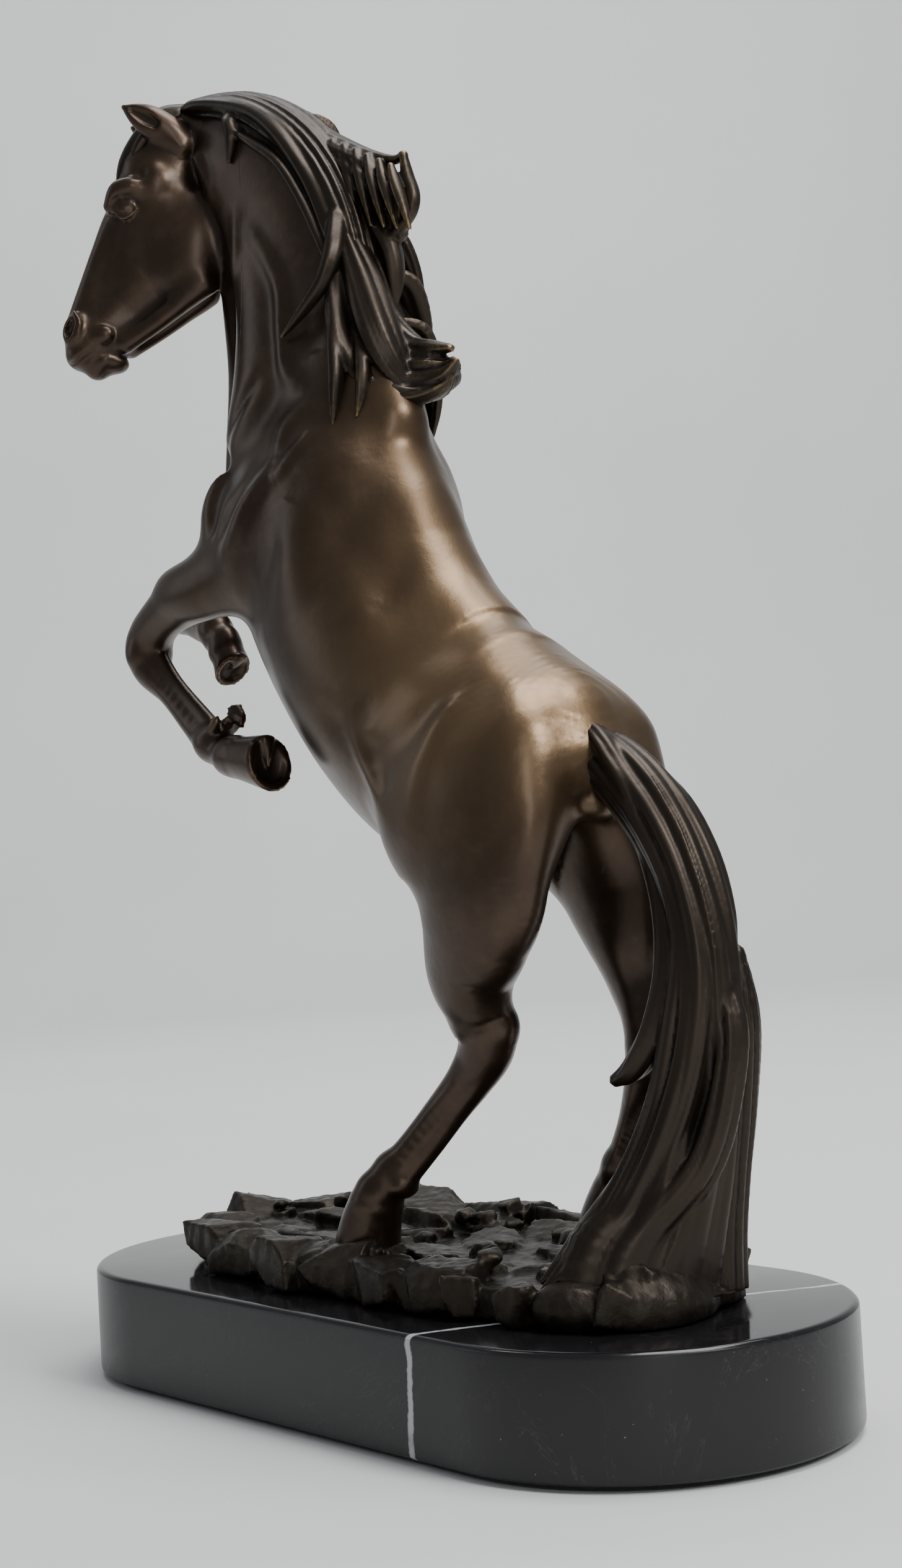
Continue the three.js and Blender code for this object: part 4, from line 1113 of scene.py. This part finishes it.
def horse():
    prims = body()
    low, high = extent(trunk() + neck() + legs())
    low[2] = 46.4
    high[2] = 463.0
    low[0] = -171.0
    whole = sculpted("whole", prims, low, high, BODY_VOXEL)
    pieces = dict(zip(CASTINGS, castings(whole, JOINTS + [HEAD_JOINT], CASTINGS)))
    head_prims = trunk() + neck() + on_head(head_bones() + ear(-1) + ear(1))
    near = [prim for prim in head_prims if prim.high[2] > 355 and prim.low[0] < -60]
    fine = sculpted("fine", near, (-158, -78, 358), (-60, 32, 470), FINE_VOXEL)
    pieces["head"] = castings(fine, [HEAD_JOINT], {"head": tuple(on_head_point(-25, 0, -45))})[0]
    return pieces


def on_head_point(x, y, z):
    return HEAD_TURN @ np.array([x, y, z], float) + POLL


# ---- plinth, felt and fixings ------------------------------------------------------
def stadium(length, width, count):
    """Points round an oblong with half-round ends, `count` steps to each end."""
    radius, straight = width / 2, length / 2 - width / 2
    points = []
    for centre, start in ((straight, -90), (-straight, 90)):
        for i in range(count + 1):
            angle = math.radians(start + 180 * i / count)
            points.append((centre + radius * math.cos(angle), radius * math.sin(angle)))
    return points


def spaced(points, step):
    """The closed outline walked again at an even step."""
    ring = np.array(points + points[:1])
    lengths = np.linalg.norm(np.diff(ring, axis=0), axis=1)
    along = np.concatenate([[0], np.cumsum(lengths)])
    at = np.linspace(0, along[-1], max(8, int(along[-1] / step)), endpoint=False)
    return np.stack([np.interp(at, along, ring[:, axis]) for axis in range(2)], 1)


def circle(x, radius, count):
    angles = np.linspace(0, 2 * math.pi, count, endpoint=False)
    return np.stack([x + radius * np.cos(angles), radius * np.sin(angles)], 1)


def ring_wall(work, rings, closed):
    """Quads between rings of points, each a list of BMVerts in the same order."""
    for lower, upper in zip(rings, rings[1:] + (rings[:1] if closed else [])):
        for i, a in enumerate(lower):
            j = (i + 1) % len(lower)
            work.faces.new((a, lower[j], upper[j], upper[i]))


def cap(work, outer, holes):
    """A flat face with holes between rings of vertices."""
    edges = []
    for ring in [outer] + holes:
        for i, vert in enumerate(ring):
            edges.append(work.edges.get((vert, ring[(i + 1) % len(ring)])))
    return bmesh.ops.triangle_fill(work, edges=edges, use_beauty=True)["geom"]


def plate(name, outline, profile, bores):
    """A slab from a profile of (inset, height) rings round an outline, with bores through it.
    A bore is x and rings of (radius, height) from bottom to top."""
    work = bmesh.new()
    centre_span = outline[:, 0].max() - outline[:, 1].max()
    rings = []
    for inset, z in profile:
        hub = np.stack([np.clip(outline[:, 0], -centre_span, centre_span),
                        np.zeros(len(outline))], 1)
        spoke = outline - hub
        length = np.linalg.norm(spoke, axis=1)[:, None]
        ring = hub + spoke * (length - inset) / length
        rings.append([work.verts.new((x * MM, y * MM, z * MM)) for x, y in ring])
    ring_wall(work, rings, False)
    low_holes, high_holes = [], []
    for x, steps in bores:
        hole = []
        for radius, z in steps:
            rim = circle(x, radius, 48)
            hole.append([work.verts.new((a * MM, b * MM, z * MM)) for a, b in rim])
        ring_wall(work, hole, False)
        low_holes.append(hole[0])
        high_holes.append(hole[-1])
    cap(work, rings[0], low_holes)
    cap(work, rings[-1], high_holes)
    bmesh.ops.recalc_face_normals(work, faces=work.faces)
    mesh = mesh_of(work, name)
    mesh.shade_smooth()
    mesh.set_sharp_from_angle(angle=math.radians(30))
    return add_object(name, mesh)


def plinth():
    outline = spaced(stadium(PLINTH_LENGTH, PLINTH_WIDTH, 48), 2.0)
    c, top, low = PLINTH_CHAMFER, PLINTH_TOP, PLINTH_LOW
    profile = [(c, low), (0.9, low + 0.35), (0.15, low + 1.1), (0, low + 2.2), (0, top - 2.2),
               (0.12, top - 1.3), (0.7, top - 0.55), (1.5, top - 0.12), (c + 0.4, top)]
    bores = []
    for x in STUD_X:
        bores.append((x, [(10.4, low), (10, low + 0.4), (10, low + 12), (3.5, low + 12),
                          (3.5, top)]))
    return plate("marble_block", outline, profile, bores)


def felt():
    outline = spaced(stadium(FELT_LENGTH, FELT_WIDTH, 48), 1.5)
    # The cut edge wanders a little.
    wander = 0.18 * roughness(np.column_stack([outline, np.zeros(len(outline))]), 0.5)
    outline = outline * (1 - 0.001 - 0.001 * np.abs(wander))[:, None]
    profile = [(0.25, 0), (0.02, 0.35), (0, 0.8), (0.05, 1.25), (0.3, 1.5)]
    hole, edge = FELT_HOLE, FELT_HOLE + 0.2
    bores = [(x, [(edge, 0), (hole, 0.4), (hole, 1.1), (edge, 1.5)]) for x in STUD_X]
    return plate("felt_base", outline, profile, bores)


# ---- materials -------------------------------------------------------------------
class Nodes:
    """Short names for building a node material."""

    def __init__(self, name):
        self.material = bpy.data.materials.new(name)
        self.material.use_nodes = True
        self.tree = self.material.node_tree
        self.shader = self.tree.nodes["Principled BSDF"]
        self.place = self.add("ShaderNodeTexCoord").outputs["Object"]

    def add(self, kind, **values):
        node = self.tree.nodes.new(kind)
        for key, value in values.items():
            setattr(node, key, value)
        return node

    def link(self, source, target):
        if isinstance(source, bpy.types.NodeSocket):
            self.tree.links.new(source, target)
        else:
            target.default_value = source

    def noise(self, scale, detail=4.0, rough=0.55, stretch=None, warp=0.0):
        node = self.add("ShaderNodeTexNoise")
        self.link(scale, node.inputs["Scale"])
        self.link(detail, node.inputs["Detail"])
        self.link(rough, node.inputs["Roughness"])
        self.link(warp, node.inputs["Distortion"])
        if stretch:
            mapping = self.add("ShaderNodeMapping")
            mapping.inputs["Scale"].default_value = stretch
            self.link(self.place, mapping.inputs["Vector"])
            self.link(mapping.outputs["Vector"], node.inputs["Vector"])
        else:
            self.link(self.place, node.inputs["Vector"])
        return node.outputs["Fac"]

    def math(self, operation, a, b=0.0, clamp=False):
        node = self.add("ShaderNodeMath", operation=operation, use_clamp=clamp)
        self.link(a, node.inputs[0])
        self.link(b, node.inputs[1])
        return node.outputs[0]

    def step(self, value, low, high, to_low=0.0, to_high=1.0):
        node = self.add("ShaderNodeMapRange", interpolation_type="SMOOTHSTEP")
        for socket, number in zip(("Value", "From Min", "From Max", "To Min", "To Max"),
                                  (value, low, high, to_low, to_high)):
            self.link(number, node.inputs[socket])
        return node.outputs[0]

    def mix(self, factor, a, b):
        node = self.add("ShaderNodeMix", data_type="RGBA")
        self.link(factor, node.inputs["Factor"])
        self.link(a, node.inputs[6])
        self.link(b, node.inputs[7])
        return node.outputs[2]

    def attribute(self, name):
        return self.add("ShaderNodeAttribute", attribute_name=name).outputs["Fac"]

    def position(self):
        """Object position in metres, as three sockets."""
        return self.add_linked("ShaderNodeSeparateXYZ", self.place).outputs

    def add_linked(self, kind, source):
        node = self.add(kind)
        self.link(source, node.inputs[0])
        return node

    def bump(self, height, strength, distance):
        node = self.add("ShaderNodeBump")
        self.link(height, node.inputs["Height"])
        node.inputs["Strength"].default_value = strength
        node.inputs["Distance"].default_value = distance
        self.link(node.outputs["Normal"], self.shader.inputs["Normal"])

    def set(self, **sockets):
        names = {"colour": "Base Color", "metal": "Metallic", "rough": "Roughness",
                 "coat": "Coat Weight", "coat_rough": "Coat Roughness",
                 "sheen": "Sheen Weight", "sheen_rough": "Sheen Roughness", "ior": "IOR"}
        for key, value in sockets.items():
            self.link(value, self.shader.inputs[names[key]])
        return self.material


def bronze_material():
    """Satin brown patina, warmer on top of the quarters where light is painted in too, darkened in
    the hollows by painted shade, rubbed through to gold on high edges.
    """
    n = Nodes("bronze")
    broad = n.noise(14, 3, 0.5, warp=0.6)
    fine = n.noise(120, 5, 0.6)
    x, y, z = n.position()
    # Warmer patina over the upper rear of the horse: partly real colour, partly a painted highlight
    # where the light falls on the top of the rump.
    warm_and_lit = n.step(x, -0.03, 0.06)
    warm_and_lit = n.math("MULTIPLY", warm_and_lit, n.step(z, 0.165, 0.235))
    warm_and_lit = n.math("MULTIPLY", warm_and_lit, n.step(broad, 0.3, 0.62, 0.45, 1.0))
    dark = n.mix(broad, (0.028, 0.0175, 0.0125, 1), (0.062, 0.037, 0.022, 1))
    base = n.mix(warm_and_lit, dark, (0.175, 0.11, 0.055, 1))
    base = n.mix(n.step(fine, 0.42, 0.7, 0.0, 0.16), base, (0.13, 0.09, 0.055, 1))
    # Painted shade: the hollows are darkened towards near-black, standing in for the shade that
    # gathers there.
    hollow = n.step(n.attribute("hollow"), -0.02, -0.16)
    base = n.mix(n.math("MULTIPLY", hollow, 0.8), base, (0.022, 0.015, 0.012, 1))
    ridge = n.math("ADD", n.attribute("ridge"), n.math("MULTIPLY", fine, 0.05))
    worn = n.step(ridge, 0.14, 0.36, 0.0, 0.4)
    base = n.mix(worn, base, (0.42, 0.26, 0.12, 1))
    rough = n.step(broad, 0.3, 0.7, 0.31, 0.4)
    rough = n.math("ADD", rough, n.math("MULTIPLY", hollow, 0.15))
    n.bump(n.math("ADD", n.noise(260, 4, 0.6), n.math("MULTIPLY", n.noise(45, 3), 1.5)),
           0.25, 0.0004)
    return n.set(colour=base, metal=0.85, rough=rough, coat=0.25, coat_rough=0.25)


def dark_bronze_material():
    """Hair: nearly black in the combed grooves by painted shade, gold where the ridges are rubbed,
    and a painted glint along the back edges of the mane.
    """
    n = Nodes("dark_bronze")
    broad = n.noise(22, 3, 0.5)
    fine = n.noise(160, 5, 0.6)
    base = n.mix(broad, (0.018, 0.014, 0.011, 1), (0.045, 0.032, 0.022, 1))
    ridge = n.math("ADD", n.attribute("ridge"), n.math("MULTIPLY", fine, 0.06))
    worn = n.step(ridge, 0.12, 0.4)
    worn = n.math("MULTIPLY", worn, n.step(broad, 0.4, 0.7, 0.12, 0.7))
    # Painted glint: the ridges along the free back edges of the mane, on the side facing the light,
    # are made brightest.
    x, y, z = n.position()
    edge = n.math("MULTIPLY", n.step(x, -0.014, 0.006), n.step(z, 0.3, 0.33))
    edge = n.math("MULTIPLY", edge, n.step(ridge, 0.06, 0.34, 0.0, 0.6))
    # Rubbed wear and the painted glint are joined into one gold mask.
    worn = n.math("MAXIMUM", worn, edge)
    base = n.mix(worn, base, (0.4, 0.27, 0.12, 1))
    # Painted shade: the combed grooves are darkened to nearly black.
    hollow = n.step(n.attribute("ridge"), -0.02, -0.15)
    base = n.mix(n.math("MULTIPLY", hollow, 0.85), base, (0.008, 0.007, 0.006, 1))
    rough = n.math("ADD", n.step(broad, 0.3, 0.7, 0.34, 0.44), n.math("MULTIPLY", hollow, 0.25))
    n.bump(n.noise(300, 4, 0.6), 0.22, 0.0004)
    return n.set(colour=base, metal=0.85, rough=rough, coat=0.1, coat_rough=0.3)


def rock_bronze_material():
    """Dark rock with rubbed edges, painted shade in the hollows and a little green in the low
    places.
    """
    n = Nodes("rock_bronze")
    broad = n.noise(30, 4, 0.6)
    fine = n.noise(190, 5, 0.65)
    base = n.mix(broad, (0.013, 0.011, 0.009, 1), (0.042, 0.032, 0.022, 1))
    # Painted shade: the hollows are darkened towards near-black.
    hollow = n.step(n.attribute("hollow"), -0.03, -0.2)
    base = n.mix(n.math("MULTIPLY", hollow, 0.85), base, (0.01, 0.009, 0.008, 1))
    green = n.math("MULTIPLY", n.step(n.noise(24, 4, 0.6, warp=1.0), 0.62, 0.72, 0, 0.35), hollow)
    base = n.mix(green, base, (0.06, 0.13, 0.11, 1))
    ridge = n.math("ADD", n.attribute("ridge"), n.math("MULTIPLY", fine, 0.08))
    worn = n.math("MULTIPLY", n.step(ridge, 0.2, 0.5), n.step(broad, 0.35, 0.6, 0.1, 0.65))
    base = n.mix(worn, base, (0.4, 0.29, 0.15, 1))
    rough = n.step(fine, 0.3, 0.7, 0.36, 0.55)
    n.bump(n.math("ADD", fine, n.math("MULTIPLY", n.noise(70, 4, 0.6), 1.6)), 0.5, 0.0007)
    return n.set(colour=base, metal=0.8, rough=rough)


def marble_material():
    """Black marble, polished on top and duller round the side, with one white vein."""
    n = Nodes("marble")
    x, y, z = n.position()
    cloud = n.noise(16, 5, 0.6, warp=1.2)
    base = n.mix(cloud, (0.004, 0.004, 0.005, 1), (0.012, 0.011, 0.012, 1))
    wobble = n.math("MULTIPLY", n.math("SUBTRACT", n.noise(34, 4, 0.6), 0.5), 0.006)
    across = n.math("SUBTRACT", x, n.math("MULTIPLY", y, 0.43))
    across = n.math("ABSOLUTE", n.math("ADD", n.math("SUBTRACT", across, 0.0973), wobble))
    ragged = n.math("ADD", across, n.math("MULTIPLY", n.noise(420, 5, 0.7), 0.0014))
    vein = n.step(ragged, 0.0014, 0.0023, 1.0, 0.0)
    vein = n.math("MULTIPLY", vein, n.step(n.noise(60, 4, 0.6), 0.3, 0.5, 0.45, 1.0))
    base = n.mix(vein, base, (0.42, 0.43, 0.44, 1))
    threads = n.math("ABSOLUTE", n.math("SUBTRACT", n.noise(9, 6, 0.65, warp=2.5), 0.5))
    base = n.mix(n.step(threads, 0.0, 0.004, 0.05, 0.0), base, (0.3, 0.3, 0.31, 1))
    specks = n.step(n.noise(700, 2, 0.5), 0.76, 0.8, 0.0, 0.35)
    base = n.mix(specks, base, (0.35, 0.35, 0.36, 1))
    top = n.step(z, 0.0375, 0.0388)
    rough = n.math("ADD", n.step(cloud, 0.3, 0.7, 0.24, 0.32), n.math("MULTIPLY", top, -0.16))
    rough = n.math("ADD", rough, n.math("MULTIPLY", vein, 0.15))
    n.bump(n.noise(500, 3, 0.5), 0.06, 0.0002)
    return n.set(colour=base, metal=0.0, rough=rough, ior=1.42)


def felt_material():
    n = Nodes("felt")
    fibre = n.noise(900, 6, 0.75, stretch=(1, 1, 0.3))
    patch = n.noise(25, 3, 0.5)
    base = n.mix(patch, (0.008, 0.008, 0.009, 1), (0.02, 0.02, 0.021, 1))
    base = n.mix(n.step(fibre, 0.5, 0.75, 0.0, 0.5), base, (0.05, 0.05, 0.052, 1))
    n.bump(fibre, 0.8, 0.0006)
    return n.set(colour=base, metal=0.0, rough=n.step(patch, 0.3, 0.7, 0.88, 0.98), sheen=0.3,
                 sheen_rough=0.5)


def steel_material():
    n = Nodes("steel")
    brushed = n.noise(500, 4, 0.6, stretch=(1, 1, 6))
    stain = n.noise(90, 4, 0.6)
    base = n.mix(stain, (0.32, 0.32, 0.33, 1), (0.52, 0.52, 0.53, 1))
    edge = n.add("ShaderNodeNewGeometry").outputs["Pointiness"]
    base = n.mix(n.step(edge, 0.51, 0.56, 0.0, 0.6), base, (0.7, 0.7, 0.7, 1))
    n.bump(brushed, 0.2, 0.0002)
    return n.set(colour=base, metal=1.0, rough=n.step(brushed, 0.3, 0.7, 0.28, 0.45))


# ---- the set ------------------------------------------------------------------------
def stage_set():
    """A plain pale sweep: a floor that curves up into a wall behind."""
    work = bmesh.new()
    profile = [(-3.2, 0)] + [(2.1 + 0.8 * math.sin(a), 0.8 - 0.8 * math.cos(a))
                             for a in np.linspace(0, math.pi / 2, 17)] + [(2.9, 3.6)]
    away = Vector((-math.sin(CAMERA_AZIMUTH), math.cos(CAMERA_AZIMUTH), 0))
    across = Vector((away.y, -away.x, 0))
    rows = []
    for depth, height in profile:
        rows.append([work.verts.new(away * depth + across * side + Vector((0, 0, height)))
                     for side in (-4.5, 4.5)])
    for lower, upper in zip(rows, rows[1:]):
        work.faces.new((lower[0], lower[1], upper[1], upper[0]))
    bmesh.ops.recalc_face_normals(work, faces=work.faces)
    mesh = mesh_of(work, "sweep")
    mesh.shade_smooth()
    sweep = add_object("sweep", mesh)
    n = Nodes("sweep")
    tone = n.noise(3, 3, 0.5)
    n.set(colour=n.mix(tone, (0.66, 0.665, 0.66, 1), (0.74, 0.745, 0.74, 1)), rough=0.75)
    sweep.data.materials.append(n.material)
    return sweep


def softbox(name, place, aim, size, power, colour=(1, 1, 1)):
    data = bpy.data.lights.new(name, "AREA")
    data.shape = "RECTANGLE"
    data.size, data.size_y = size
    data.energy = power
    data.color = colour
    lamp = add_object(name, data)
    lamp.location = place
    lamp.rotation_euler = (Vector(aim) - Vector(place)).to_track_quat("-Z", "Y").to_euler()


def lights():
    middle = (0, 0, 0.22)
    softbox("overhead", (0.35, 0.25, 1.5), (0.05, 0, 0.2), (0.7, 0.7), 17)
    softbox("key", (1.15, 0.15, 1.05), (0.03, 0, 0.24), (0.35, 0.5), 12)
    softbox("right", (1.35, -0.75, 0.55), middle, (0.3, 0.9), 3.5)
    softbox("left", (-1.1, -0.9, 0.75), middle, (0.5, 1.0), 1.6, (0.9, 0.95, 1))
    softbox("wall", (-0.7, 0.6, 2.1), (-1.9, 1.6, 0.7), (2.2, 0.8), 52)
    world = bpy.data.worlds.new("world")
    world.use_nodes = True
    background = world.node_tree.nodes["Background"]
    background.inputs["Color"].default_value = (0.86, 0.9, 0.95, 1)
    background.inputs["Strength"].default_value = 0.3
    bpy.context.scene.world = world


# ---- assembly -----------------------------------------------------------------------
def finish_piece(piece, material, slot, *nodes):
    piece.data.materials.clear()
    piece.data.materials.append(material)
    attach(piece, "root")
    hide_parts(*nodes)


def build():
    bronze, dark, rock = bronze_material(), dark_bronze_material(), rock_bronze_material()
    for name, piece in horse().items():
        nodes = [name] if name != "head" else ["head", "left_ear", "right_ear"]
        finish_piece(piece, bronze, "bronze", *nodes)
    hair = {"mane_crest": mane_crest(), "mane_flare": mane_flare(), "mane_fall": mane_fall(),
            "forelock": forelock(), "tail": tail(), "tail_strand": tail_strand(),
            "tail_far_lock": tail_far_lock()}
    for name, prims in hair.items():
        low, high = extent(prims)
        low[2] = max(low[2], 45.0)
        piece = sculpted("hair_" + name, prims, low, high, HAIR_VOXEL)
        finish_piece(piece, dark, "dark_bronze", name)
    finish_piece(ground(), rock, "rock_bronze", "rock_ground")
    block = plinth()
    finish_piece(block, marble_material(), "marble", "marble_plinth")
    sheet = felt()
    finish_piece(sheet, felt_material(), "felt", "felt_sheet")
    steel = steel_material()
    for name in ("washer", "nut", "stud"):
        for number in (1, 2):
            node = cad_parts[f"{name}_{number}"]
            node.data.materials.clear()
            node.data.materials.append(steel)


build()
stage_set()
lights()
make_camera()
